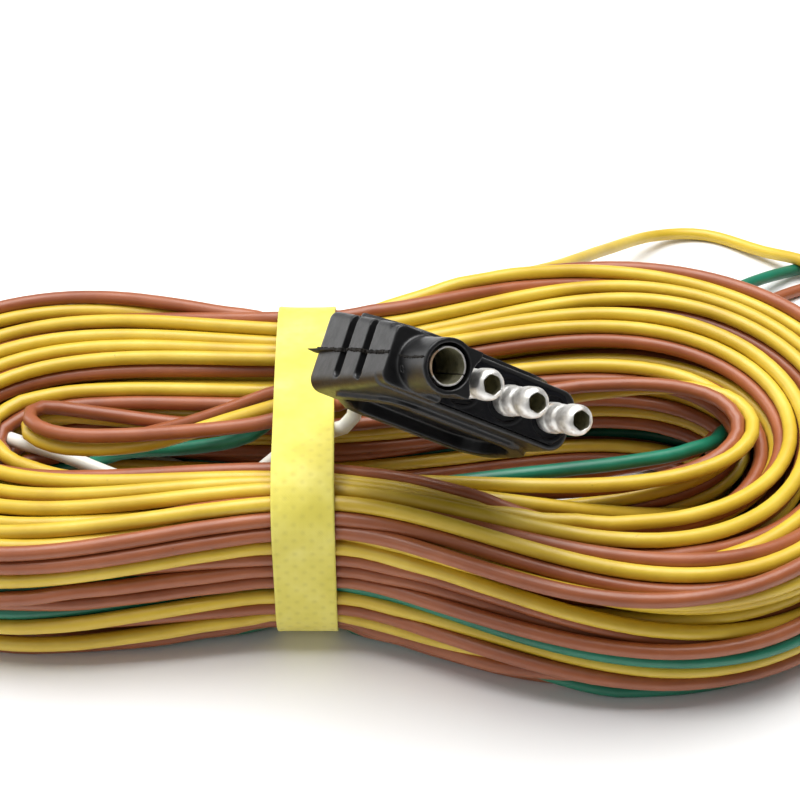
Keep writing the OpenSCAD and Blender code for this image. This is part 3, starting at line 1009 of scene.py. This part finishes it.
def finish_piece(thing, material, slot, *nodes):
    if not isinstance(material, (list, tuple)):
        material = [material]
    chosen = [face.material_index for face in thing.data.polygons]
    thing.data.materials.clear()
    for m in material:
        thing.data.materials.append(m)
    thing.data.polygons.foreach_set("material_index", chosen)
    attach(thing, "root")
    if nodes:
        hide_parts(*nodes)
    return thing


# ---- housing ----

FRONT_T = 0.0094
BACK_T = 0.0132
LEFT_X = 0.0176
RIGHT_X = 0.016
GROOVE_D = 0.0014
RIB_GAPS = ((0.0053, 0.0076), (0.0124, 0.0148))
BOSS_D = 0.0019
BOSS_HALF_T = 0.0044
BOSS_RIGHT = -0.0074
SHROUD_LEN = 0.010
SHROUD_R = 0.0041
PIN_LEN = 0.009
PIN_XS = {"brown_pin": -0.5 * PITCH, "yellow_pin": 0.5 * PITCH, "green_pin": 1.5 * PITCH}
TAPER = math.atan((BACK_T - FRONT_T) / 2 / BODY_D)
INSERT_D = 0.009
INSERT_T = 0.0078
INSERT_X = (-0.0152, 0.0146)
INSERT_CHAMFER = 0.0012
CONTACT_R = 0.0029
# The sleeve inside the shroud, and how far behind the shroud's rim it starts
SLEEVE_INNER = 0.00258
SLEEVE_OUTER = 0.00286
SLEEVE_LEN = 0.0088
SLEEVE_BACK = 0.0004
# Radii of what is cut for the mating plug beside the shroud, of the shroud's mouth, of a wire
# exit's collar at its root and its rim, and of the rim, well and hole of each pin in the insert
MATING_R = 0.0042
MOUTH_R = 0.00335
COLLAR_R = (0.0021, 0.0016)
RIM_R = 0.00365
WELL_R = 0.0032
PIN_HOLE_R = 0.00218
# How far the pads and the collars stand out, and how deep the finger recesses are
PAD_OUT = 0.0008
COLLAR_OUT = 0.0014
RECESS_D = 0.0015
# The mesh size and the smoothing passes that round off a moulded piece
BODY_VOXEL = 0.0002
BODY_PASSES = 6
INSERT_VOXEL = 0.00013
INSERT_PASSES = 2


def insert_outline(grow=0.0):
    """The insert seen from the front: a block with two chamfered corners on its right."""
    half = INSERT_T / 2 + grow
    c = INSERT_CHAMFER
    x0, x1 = INSERT_X[0] - grow, INSERT_X[1] + grow
    return [(x0, -half), (x1 - c, -half), (x1, c - half), (x1, half - c), (x1 - c, half),
            (x0, half)]


def half_t(y):
    return FRONT_T / 2 + (BACK_T - FRONT_T) / 2 * y / BODY_D


def body_loop(y, inset):
    """The body's outline at y, seen from its end, with its long edges rounded."""
    h = half_t(y) - inset
    corners = [(-LEFT_X + inset, -h), (RIGHT_X - inset, -h), (RIGHT_X - inset, h),
               (-LEFT_X + inset, h)]
    back = y / BODY_D
    radii = [0.0017 + 0.0004 * back, 0.0027 - 0.0010 * back, 0.0026 - 0.0012 * back, 0.0011]
    outline = round_corners(corners, radii)
    return [(p[0], y, p[1]) for p in outline]


def on_face(thing, side):
    """Puts a shape drawn over the origin on the upper (1) or lower (-1) wide face."""
    thing.data.transform(Matrix.Translation((0, 0, FRONT_T / 2)) @ Matrix.Rotation(TAPER, 4, "X"))
    if side < 0:
        thing.data.transform(Matrix.Scale(-1, 4, (0, 0, 1)))
        thing.data.flip_normals()
    thing.data.update()
    return thing


def finger_recess(side):
    """The long recess for a fingertip; its left end runs out to a point."""
    corners = [(-0.0105, 0.0066), (0.0128, 0.0066), (0.0128, 0.0212), (-0.0090, 0.0212),
               (-0.0138, 0.0160)]
    outline = round_corners(corners, [0.004, 0.0055, 0.0050, 0.003, 0.0015])
    return on_face(drawn("recess", outline, 2, -RECESS_D, 0.003), side)


def make_housing():
    body = loft("housing_moulding", [body_loop(y, inset) for y, inset in (
        (0.0003, 0.0003), (0.0006, 0.0), (0.0222, 0.0), (0.0230, 0.0002), (0.0236, 0.0005),
        (0.0240, 0.0010), (BODY_D, 0.0017))])
    # grip grooves at both ends, stopped short of the lower face
    for sign, edge in ((-1, -LEFT_X), (1, RIGHT_X)):
        for y0, y1 in RIB_GAPS:
            slot = [(p[1], p[0]) for p in stadium(-0.0042, 0.012, y0, y1)]
            span = sorted((edge + sign * 0.001, edge - sign * GROOVE_D))
            cut(body, drawn("groove", slot, 0, *span))
    # raised pads with a finger recess and a fine groove along their front rim
    pad = round_corners([(-0.0114, 0.0038), (0.0146, 0.0038), (0.0146, 0.0232),
                         (-0.0100, 0.0232), (-0.0158, 0.0162)],
                        [0.005, 0.0065, 0.006, 0.004, 0.002])
    for side in (-1, 1):
        add(body, on_face(drawn("pad", pad, 2, -0.001, PAD_OUT), side))
        cut(body, finger_recess(side))
        fine = [(-0.0085, 0.00455), (0.0100, 0.00455), (0.0108, 0.0049), (0.0100, 0.0051),
                (-0.0085, 0.0051)]
        cut(body, on_face(drawn("fine_groove", fine, 2, 0.0003, 0.002), side))
    # shroud, its flared root and its web
    add(body, rod("shroud", SOCKET_X, -SHROUD_LEN, 0.001, SHROUD_R))
    boss = round_corners([(-LEFT_X, -BOSS_HALF_T), (BOSS_RIGHT, -BOSS_HALF_T),
                          (BOSS_RIGHT, BOSS_HALF_T), (-LEFT_X, BOSS_HALF_T)],
                         [0.0016, 0.0003, 0.0003, 0.0012])
    add(body, drawn("boss", boss, 1, -BOSS_D, 0.001))
    web = [(SOCKET_X, -0.0035), (SOCKET_X + 0.0045, -0.0035), (SOCKET_X + 0.0045, 0.0036),
           (SOCKET_X, 0.0036)]
    add(body, drawn("web", web, 1, -SHROUD_LEN, 0.001))
    cut(body, rod("mating", PIN_XS["brown_pin"], -0.012, 0.0, MATING_R))
    # pocket for the insert, mouth of the shroud, wire holes with a collar round each
    cut(body, drawn("pocket", insert_outline(-0.00002), 1, -0.0002, INSERT_D))
    cut(body, rod("mouth", SOCKET_X, -0.012, -0.0012, MOUTH_R))
    cut(body, rod("bore", SOCKET_X, -0.002, 0.002, CONTACT_R))
    for x, z in EXITS.values():
        add(body, rod("collar", x, 0.0230, BODY_D + COLLAR_OUT, COLLAR_R[0], z, COLLAR_R[1], 32))
    for x, z in EXITS.values():
        cut(body, rod("hole", x, INSULATION_START, BODY_D + 0.003, WIRE_R * 0.98, z, None, 32))
    softened(body, BODY_VOXEL, BODY_PASSES)
    return place(body)


def ragged_ridge(name, line, out, rng, wide, tall):
    """A thin ragged ridge of flash along a line, standing out along the directions out."""
    line = respaced(np.array(line, float), 0.00018)
    way = units(np.gradient(line, axis=0))
    up = np.array([0, 0, 1.0])
    normal = np.cross(way, up) * out
    loops = []
    height = tall * (0.35 + rng.random(len(line)) * 0.9)
    width = wide * (0.3 + rng.random(len(line)) * 0.8)
    shift = np.cumsum(rng.normal(0, 0.00003, len(line)))
    shift -= np.linspace(shift[0], shift[-1], len(shift))
    for p, n, h, w, s in zip(line, normal, height, width, shift):
        base = p - n * 0.00015 + up * s
        tip = p + n * h + up * s
        loops.append([base + up * w, tip + up * w * 0.6, tip - up * w * 0.6, base - up * w])
    return loft(name, loops)


def make_flash(rng):
    """The parting line's flash along both ends and the shroud, and a torn tab of it."""
    g = -LEFT_X + GROOVE_D
    e = -LEFT_X
    (a0, a1), (b0, b1) = RIB_GAPS
    ribs = [(e, 0.0232, 0), (e, b1, 0), (g, b1 - 0.0002, 0), (g, b0 + 0.0002, 0), (e, b0, 0),
            (e, a1, 0), (g, a1 - 0.0002, 0), (g, a0 + 0.0002, 0), (e, a0, 0), (e, -0.0017, 0)]
    side = SOCKET_X - SHROUD_R
    tube_line = [(side, -BOSS_D, 0), (side, -SHROUD_LEN + 0.0004, 0)]
    right = [(-p[0] - LEFT_X + RIGHT_X, p[1], 0) for p in ribs]
    a = ragged_ridge("flash_left", ribs, 1, rng, 0.0004, 0.00026)
    b = ragged_ridge("flash_shroud", tube_line, 1, rng, 0.00028, 0.00016)
    c = ragged_ridge("flash_right", right, -1, rng, 0.0001, 0.0001)
    tab = [[(e + 0.0002, y, z0 - h), (e - w, y, z0 - h * 0.4), (e - w, y, z0 + h * 0.4),
            (e + 0.0002, y, z0 + h)] for y, w, h, z0 in (
                (0.0160, 0.0001, 0.0001, 0.0), (0.0176, 0.0005, 0.00028, -0.0001),
                (0.0196, 0.0007, 0.00034, -0.0002), (0.0218, 0.0008, 0.00034, -0.0003),
                (0.0236, 0.0010, 0.00026, -0.0004), (0.0246, 0.0011, 0.00016, -0.0004))]
    d = loft("flash_tab", tab)
    return [place(x) for x in (a, b, c, d)]


def make_mould_mark():
    """The small raised ring that an ejector left on the shroud's side."""
    angle = math.radians(207)
    normal = Vector((math.cos(angle), 0, math.sin(angle)))
    centre = Vector((SOCKET_X, -0.0032, 0)) + normal * SHROUD_R
    along = Vector((0, 1, 0))
    across = normal.cross(along)
    loops = []
    for k in range(28):
        a = 2 * math.pi * k / 28
        out = along * math.cos(a) + across * math.sin(a)
        core = centre + out * 0.00052
        loops.append([core + 0.00007 * (out * math.cos(b) + normal * math.sin(b))
                      for b in [2 * math.pi * j / 8 for j in range(8)]])
    return place(smooth_shaded(loft("mould_mark", loops, closed=True)))


def make_insert():
    """The hard block that carries the contacts, with a well and a low rim round each pin."""
    outline = insert_outline()
    block = drawn("insert_block", outline, 1, 0.0, INSERT_D)
    for x in PIN_XS.values():
        add(block, rod("rim", x, -0.00011, 0.001, RIM_R))
    # the rims end level with the block's long faces
    wider = [(x * 1.5, z) for x, z in outline]
    combine(block, drawn("crop", wider, 1, -0.001, 0.012), "INTERSECT")
    for x in PIN_XS.values():
        cut(block, rod("well", x, -0.001, 0.0003, WELL_R))
        cut(block, rod("pin_hole", x, -0.001, INSERT_D + 0.001, PIN_HOLE_R))
    cut(block, rod("socket_hole", SOCKET_X, -0.001, INSERT_D + 0.001, CONTACT_R))
    softened(block, INSERT_VOXEL, INSERT_PASSES)
    return place(block)


# ---- contacts ----

def turned_part(name, profile, x, y0, shape, sides):
    """A part turned round the connector's Y at x. shape(angle, radius, y) may bend it."""
    loops = []
    for radius, y in profile:
        loop = []
        for k in range(sides):
            a = 2 * math.pi * k / sides
            r = shape(a, radius, y)
            loop.append((x + r * math.cos(a), y0 + y, r * math.sin(a)))
        loops.append(loop)
    return smooth_shaded(loft(name, loops))


def near_angle(a, goal, width):
    """1 at the goal angle, falling to 0 at width away."""
    off = abs((a - goal + math.pi) % (2 * math.pi) - math.pi)
    return max(0.0, 1 - off / width)


def make_pin(name, x, seam, phase):
    """A hollow bullet pin rolled from sheet: a seam down its side and a mouth pressed six-sided."""
    profile = [(1.62, 6.2), (1.66, 4.6), (1.50, 4.1), (1.62, 3.2), (1.80, 2.2), (1.72, 1.2),
               (1.52, 0.55), (1.44, 0.22), (1.43, 0.06), (1.50, -0.04), (1.60, -0.03),
               (1.70, 0.05), (1.86, 0.14), (2.02, 0.27), (2.16, 0.46), (2.27, 0.74),
               (2.34, 1.1), (2.36, 1.6), (2.36, 2.3), (2.33, 2.8), (2.24, 3.15), (2.08, 3.5),
               (1.94, 3.8), (1.90, 4.1), (1.92, 4.4), (2.02, 4.7), (2.14, 4.95), (2.19, 5.2),
               (2.20, 6.6), (2.21, 6.9), (2.32, 7.1), (2.36, 7.35), (2.36, 8.6), (2.30, 8.95),
               (2.20, 9.2), (2.17, 11.0)]
    profile = [(r / 1000, y / 1000) for r, y in profile]

    def shape(a, r, y):
        mouth = max(0.0, 1 - abs(r - 0.00146) / 0.00022) * (1 if y < 0.0006 else 0)
        r += mouth * (0.00006 * math.cos(6 * a + phase) + 0.00003 * math.cos(2 * a + 1))
        # the seam, faint ripples, and the notch where the seam meets the mouth
        if r > 0.0018:
            r -= 0.00009 * near_angle(a, seam, 0.045)
        r += 0.000012 * math.sin(5 * a + 700 * y + phase) + 0.00001 * math.sin(11 * a - 1500 * y)
        if y < 0.0004:
            r += 0.00016 * near_angle(a, seam + 0.02, 0.05) * (1 if r < 0.00165 else 0)
        return r

    sides = 96
    pin = turned_part(name, profile, x, -PIN_LEN, shape, sides)
    # the first rows of faces and the cap over them are the inside of the tube, which gets the
    # darker tin as painted shade
    inside = 7 * sides
    cap = (len(profile) - 1) * sides
    for face in pin.data.polygons:
        face.material_index = 1 if face.index < inside or face.index == cap else 0
    return place(pin)


def make_contact():
    """The rolled sleeve in the shroud, slit along its right side."""
    slit = math.radians(-7)
    inner, outer = SLEEVE_INNER, SLEEVE_OUTER
    sides = 90
    gap = math.radians(5)
    loops = []
    for k in range(sides + 1):
        a = slit + gap / 2 + (2 * math.pi - gap) * k / sides
        thick = 0.00016 * near_angle(a, math.radians(188), 0.8)
        wave = 0.000015 * math.sin(7 * a)
        ring = [(inner + 0.00004, 0.0), (inner, 0.00008), (inner, SLEEVE_LEN), (outer, SLEEVE_LEN),
                (outer + thick, 0.0001), (outer + thick - 0.00005, 0.0)]
        loops.append([(SOCKET_X + (r + wave) * math.cos(a), SLEEVE_BACK - SHROUD_LEN + y,
                       (r + wave) * math.sin(a)) for r, y in ring])
    sleeve = loft("socket_sleeve", loops)
    # the inside gets the darker tin as painted shade, and the front edge is worn to brass opposite
    # the slit
    for face in sleeve.data.polygons:
        row, side = divmod(face.index, 6)
        a = slit + 2 * math.pi * row / sides
        if side == 1:
            face.material_index = 1
        elif side in (4, 5) and near_angle(a, math.radians(186), 0.75) > 0:
            face.material_index = 2
    return place(sleeve)


# ---- tie ----

TAPE_W = 0.010
TAPE_T = 0.0005
TAPE_STEP = 0.00032
TAPE_OVERLAP = 0.018
# How far it lies off the hank, and the length over which it rises onto its own start
TAPE_GAP = 0.00006
TAPE_RISE = 0.003
# Points across the strap
TAPE_POINTS = 33
DIMPLE_ALONG = 0.0026
DIMPLE_ACROSS = 0.0028


def tie_line():
    """The strap's path round the hank, starting low on its back side."""
    w, r = WAIST_W, HANK_CORNER
    corners = [(w, TIE_T), (w, HANK_H), (-w, HANK_H), (-w, TIE_T)]
    ring = round_corners(corners, [r] * 4, 16)
    line = np.array([(0, p[0] + WAIST_Y, p[1]) for p in ring])
    line = respaced(np.vstack([line, line[:1]]), TAPE_STEP)[:-1]
    start = int(np.argmin(np.abs(line[:, 2] - 0.007) + (line[:, 1] < 0)))
    return np.roll(line, -start, axis=0)


def dimples(u, v):
    """0 on the plain cloth, 1 at the middle of a dimple, on a staggered grid."""
    wave = math.cos(2 * math.pi * u / DIMPLE_ALONG) * math.cos(2 * math.pi * v / DIMPLE_ACROSS)
    return eased((wave - 0.25) / 0.7)


def make_tie():
    """The cloth strap, pulled tight round the hank, its end stuck down on its start."""
    ring = tie_line()
    lap = int(TAPE_OVERLAP / TAPE_STEP)
    line = np.vstack([ring, ring[:lap]])
    n = len(line)
    way = units(np.roll(ring, -1, axis=0) - np.roll(ring, 1, axis=0))
    way = np.vstack([way, way[:lap]])
    out = np.column_stack([np.zeros(n), way[:, 2], -way[:, 1]])
    centre = np.array([0, WAIST_Y, HANK_H / 2])
    out *= np.sign(np.einsum("ij,ij->i", out, line - centre).mean())
    at = np.arange(n) * TAPE_STEP
    rising = (at - (at[-1] - TAPE_OVERLAP - TAPE_RISE)) / TAPE_RISE
    lift = TAPE_GAP + (TAPE_T + TAPE_GAP) * eased(rising)
    # it lies a little askew, and lower down on its front it leans to the right
    lean = TIE_X - 0.0001 - 0.018 * (line[:, 1] + 0.020)
    lean += 0.0004 * (line[:, 1] < 0) * (1 - line[:, 2] / HANK_H)
    lean += 0.00012 * np.sin(at * 90 + 1.0)
    across = TAPE_POINTS
    vertices, faces, uvs = [], [], []
    for layer, thick in ((0, 0.0), (1, TAPE_T)):
        for i in range(n):
            for j in range(across):
                v = j / (across - 1) - 0.5
                slack = 0.00006 * math.sin(at[i] * 420 + 2 * v) * (1 - (2 * v) ** 2)
                curl = 0.00015 * (2 * v) ** 6
                press = 0.00007 * dimples(at[i], v * TAPE_W) * layer
                edge = 0.00016 * layer * (1 if j in (0, across - 1) else 0)
                spot = line[i] * (0, 1, 1) + (lean[i] + v * TAPE_W, 0, 0)
                spot = spot + out[i] * (lift[i] + thick + curl + slack - press - edge)
                vertices.append((spot[0], spot[1], max(spot[2], 0.00002)))
                uvs.append((at[i], v * TAPE_W))
    size = n * across
    for i in range(n - 1):
        for j in range(across - 1):
            a = i * across + j
            faces.append((a, a + 1, a + across + 1, a + across))
            b = a + size
            faces.append((b, b + across, b + across + 1, b + 1))
        a, b = i * across, (i + 1) * across
        faces.append((a, b, b + size, a + size))
        a, b = a + across - 1, b + across - 1
        faces.append((a, a + size, b + size, b))
    for j in range(across - 1):
        faces.append((j, j + size, j + 1 + size, j + 1))
        a = (n - 1) * across + j
        faces.append((a, a + 1, a + 1 + size, a + size))
    strap = solid("tie_band", vertices, faces)
    layer = strap.data.uv_layers.new(name="weave")
    for loop in strap.data.loops:
        layer.data[loop.index].uv = uvs[loop.vertex_index]
    return smooth_shaded(strap), float(at[-1])


# ---- finishes ----

def plastic(name, dark, plain, rough, gloss):
    """Moulded PVC: faint flow marks, a fine grain and greyish scuffs."""
    m = Shader(name)
    tone = m.tones(260, 4, (0.3, dark), (0.7, plain))
    scuffs = m.ramp(m.noise(1500, 4, 0.7), [(0.64, 0.0), (0.74, 1.0)])
    where = m.tones(210, 2, (0.48, 0.0), (0.66, 1.0))
    marks = m.math("MULTIPLY", m.math("MULTIPLY", scuffs, where), 0.35)
    m.set(Base_Color=m.mix(marks, tone, srgb(96, 96, 92)))
    m.set(Roughness=m.tones(500, 3, (0.3, rough - 0.05), (0.7, rough + 0.08)))
    m.set(Specular_IOR_Level=gloss)
    m.relief((7000, 2, 0.3, 0.00005), (650, 3, 0.25, 0.0002))
    return m.material


def metal(name, low, high, rough, worn=0.0):
    """Plated or bare sheet: satin, streaked and scratched, with brass at its worn spots."""
    m = Shader(name)
    tone = m.tones(700, 3, (0.32, low), (0.6, high))
    spots = m.tones(620, 3, (0.64, 0.0), (0.76, worn))
    m.set(Base_Color=m.mix(spots, tone, srgb(196, 150, 96)))
    m.set(Metallic=1.0)
    m.set(Roughness=m.tones(1300, 3, (0.3, rough - 0.08), (0.7, rough + 0.1)))
    m.relief((5200, 3, 0.35, 0.00004), (1300, 3, 0.4, 0.00012))
    return m.material


def copper():
    """Bare copper strands, brighter on their rubbed sides and brown in between."""
    m = Shader("bare_copper")
    tone = m.tones(900, 3, (0.3, (150, 84, 52)), (0.55, (206, 128, 84)), (0.75, (232, 164, 118)))
    m.set(Base_Color=tone)
    m.set(Metallic=1.0)
    m.set(Roughness=m.tones(1500, 2, (0.3, 0.28), (0.7, 0.5)))
    m.relief((4200, 3, 0.3, 0.00004))
    return m.material


def webbing():
    """Pale woven cloth, with painted shade in the dimples pressed into it and between its threads.
    """
    m = Shader("strap_cloth")
    source = m.add("ShaderNodeUVMap")
    source.uv_map = "weave"
    split = m.add("ShaderNodeSeparateXYZ", Vector=source.outputs["UV"])
    u, v = split.outputs["X"], split.outputs["Y"]

    def wave(value, pitch):
        return m.math("COSINE", m.math("MULTIPLY", value, 2 * math.pi / pitch))

    # mask of the painted shade in the dimples
    pit_shade = m.ramp(m.math("MULTIPLY", wave(u, DIMPLE_ALONG), wave(v, DIMPLE_ACROSS)),
                  [(0.35, 0.0), (0.95, 1.0)])
    threads = m.math("MULTIPLY", wave(u, 0.00042), wave(v, 0.00042))
    soft = m.math("MULTIPLY_ADD", threads, 0.5)
    soft.node.inputs[2].default_value = 0.5
    tone = m.tones(140, 4, (0.3, (222, 208, 78)), (0.55, (234, 221, 98)), (0.78, (243, 233, 126)))
    # painted shade: the tones are mixed towards darker yellows in the dimples and along the weave's
    # threads
    tone = m.mix(m.math("MULTIPLY", pit_shade, 0.26), tone, srgb(196, 182, 78))
    tone = m.mix(m.math("MULTIPLY", soft, 0.14), tone, srgb(188, 172, 76))
    m.set(Base_Color=tone)
    m.set(Roughness=m.tones(600, 3, (0.3, 0.5), (0.7, 0.68)))
    m.set(Sheen_Weight=0.15)
    weave = m.bump(soft, 0.35, 0.00006)
    m.set(Normal=m.bump(m.noise(1500, 3), 0.2, 0.0001, weave))
    return m.material


def white_floor():
    m = Shader("floor_paper")
    m.set(Base_Color=m.tones(6, 2, (0.3, 0.86), (0.7, 0.90)))
    m.set(Roughness=m.tones(30, 2, (0.3, 0.6), (0.7, 0.75)))
    return m.material


# ---- the whole scene ----

# Distance between the rings of a wire's tube
RING_STEP = 0.0028

def bare_end_at(name, tail, rng):
    """The stripped strands at the end of a tail, level as in part.scad."""
    last = np.array(tail[-1])
    way = last - np.array(tail[-2])
    way[2] = 0
    return bare_strands(name, last, way, rng)


def make_wires(lines, finishes, copper_finish):
    """The five wires and their stripped ends."""
    rng = np.random.default_rng(SEED + 2)
    tails = {"yellow": YELLOW_TAIL, "green": GREEN_TAIL, "brown_right": BROWN_RIGHT_TAIL,
             "brown_left": BROWN_LEFT_TAIL, "white": WHITE_HOLLOW}
    wires = []
    for key, line in lines.items():
        line = respaced(line, RING_STEP)
        wire = tubes("wire_" + key, [line], WIRE_R)
        colour = key.split("_")[0]
        stands_for = [key + "_lead"]
        if key != "white":
            stands_for.append(key + "_tail")
        if key == "yellow":
            stands_for.append("wire_hank")
        finish_piece(wire, finishes[colour], colour + "_insulation", *stands_for)
        end = bare_end_at("strands_" + key, tails[key], rng)
        finish_piece(end, copper_finish, "copper_strand",
                     *([key + "_bare_end"] if key != "white" else []))
        wires.append(wire)
    return wires


def make_scene():
    make_camera()
    make_lights()
    finishes = {colour: insulation(colour + "_pvc", *tones) for colour, tones in TONES.items()}
    copper_finish = copper()
    lines = lay_wires()
    wires = make_wires(lines, finishes, copper_finish)

    black = plastic("housing_pvc", (7, 7, 8), (16, 16, 17), 0.36, 0.5)
    hard = plastic("insert_nylon", (5, 5, 8), (11, 12, 17), 0.36, 0.2)
    burr = plastic("flash_pvc", (4, 4, 4), (26, 21, 14), 0.6, 0.2)
    tin = metal("tin_plate", (204, 201, 194), (238, 236, 232), 0.5, 0.5)
    # a darker copy of the tin, painted shade for the insides of the pins and of the sleeve
    inside = metal("tin_painted_shade", (160, 156, 130), (198, 194, 168), 0.6)
    brass = metal("worn_brass", (198, 152, 110), (232, 204, 172), 0.42)
    rng = np.random.default_rng(SEED + 1)
    finish_piece(make_housing(), black, "housing", "housing")
    finish_piece(make_insert(), hard, "insert", "terminal_insert")
    for piece in make_flash(rng):
        finish_piece(piece, burr, "housing")
    finish_piece(make_mould_mark(), black, "housing")
    for k, (key, x) in enumerate(PIN_XS.items()):
        pin = make_pin(key + "_shell", x, math.radians((-12, -38, -30)[k]), 0.8 * k)
        finish_piece(pin, [tin, inside], "tinned_contact", key)
    finish_piece(make_contact(), [tin, inside, brass], "tinned_contact", "socket_contact")

    strap, length = make_tie()
    finish_piece(strap, webbing(), "tie_webbing", "tie_strap")

    for key in EXITS:
        for place_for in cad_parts[key + "_conductor"].material_slots:
            place_for.material = copper_finish

    floor = solid("floor", [(-3, -3, 0), (3, -3, 0), (3, 3, 0), (-3, 3, 0)], [(0, 1, 2, 3)])
    floor.data.materials.append(white_floor())


make_scene()
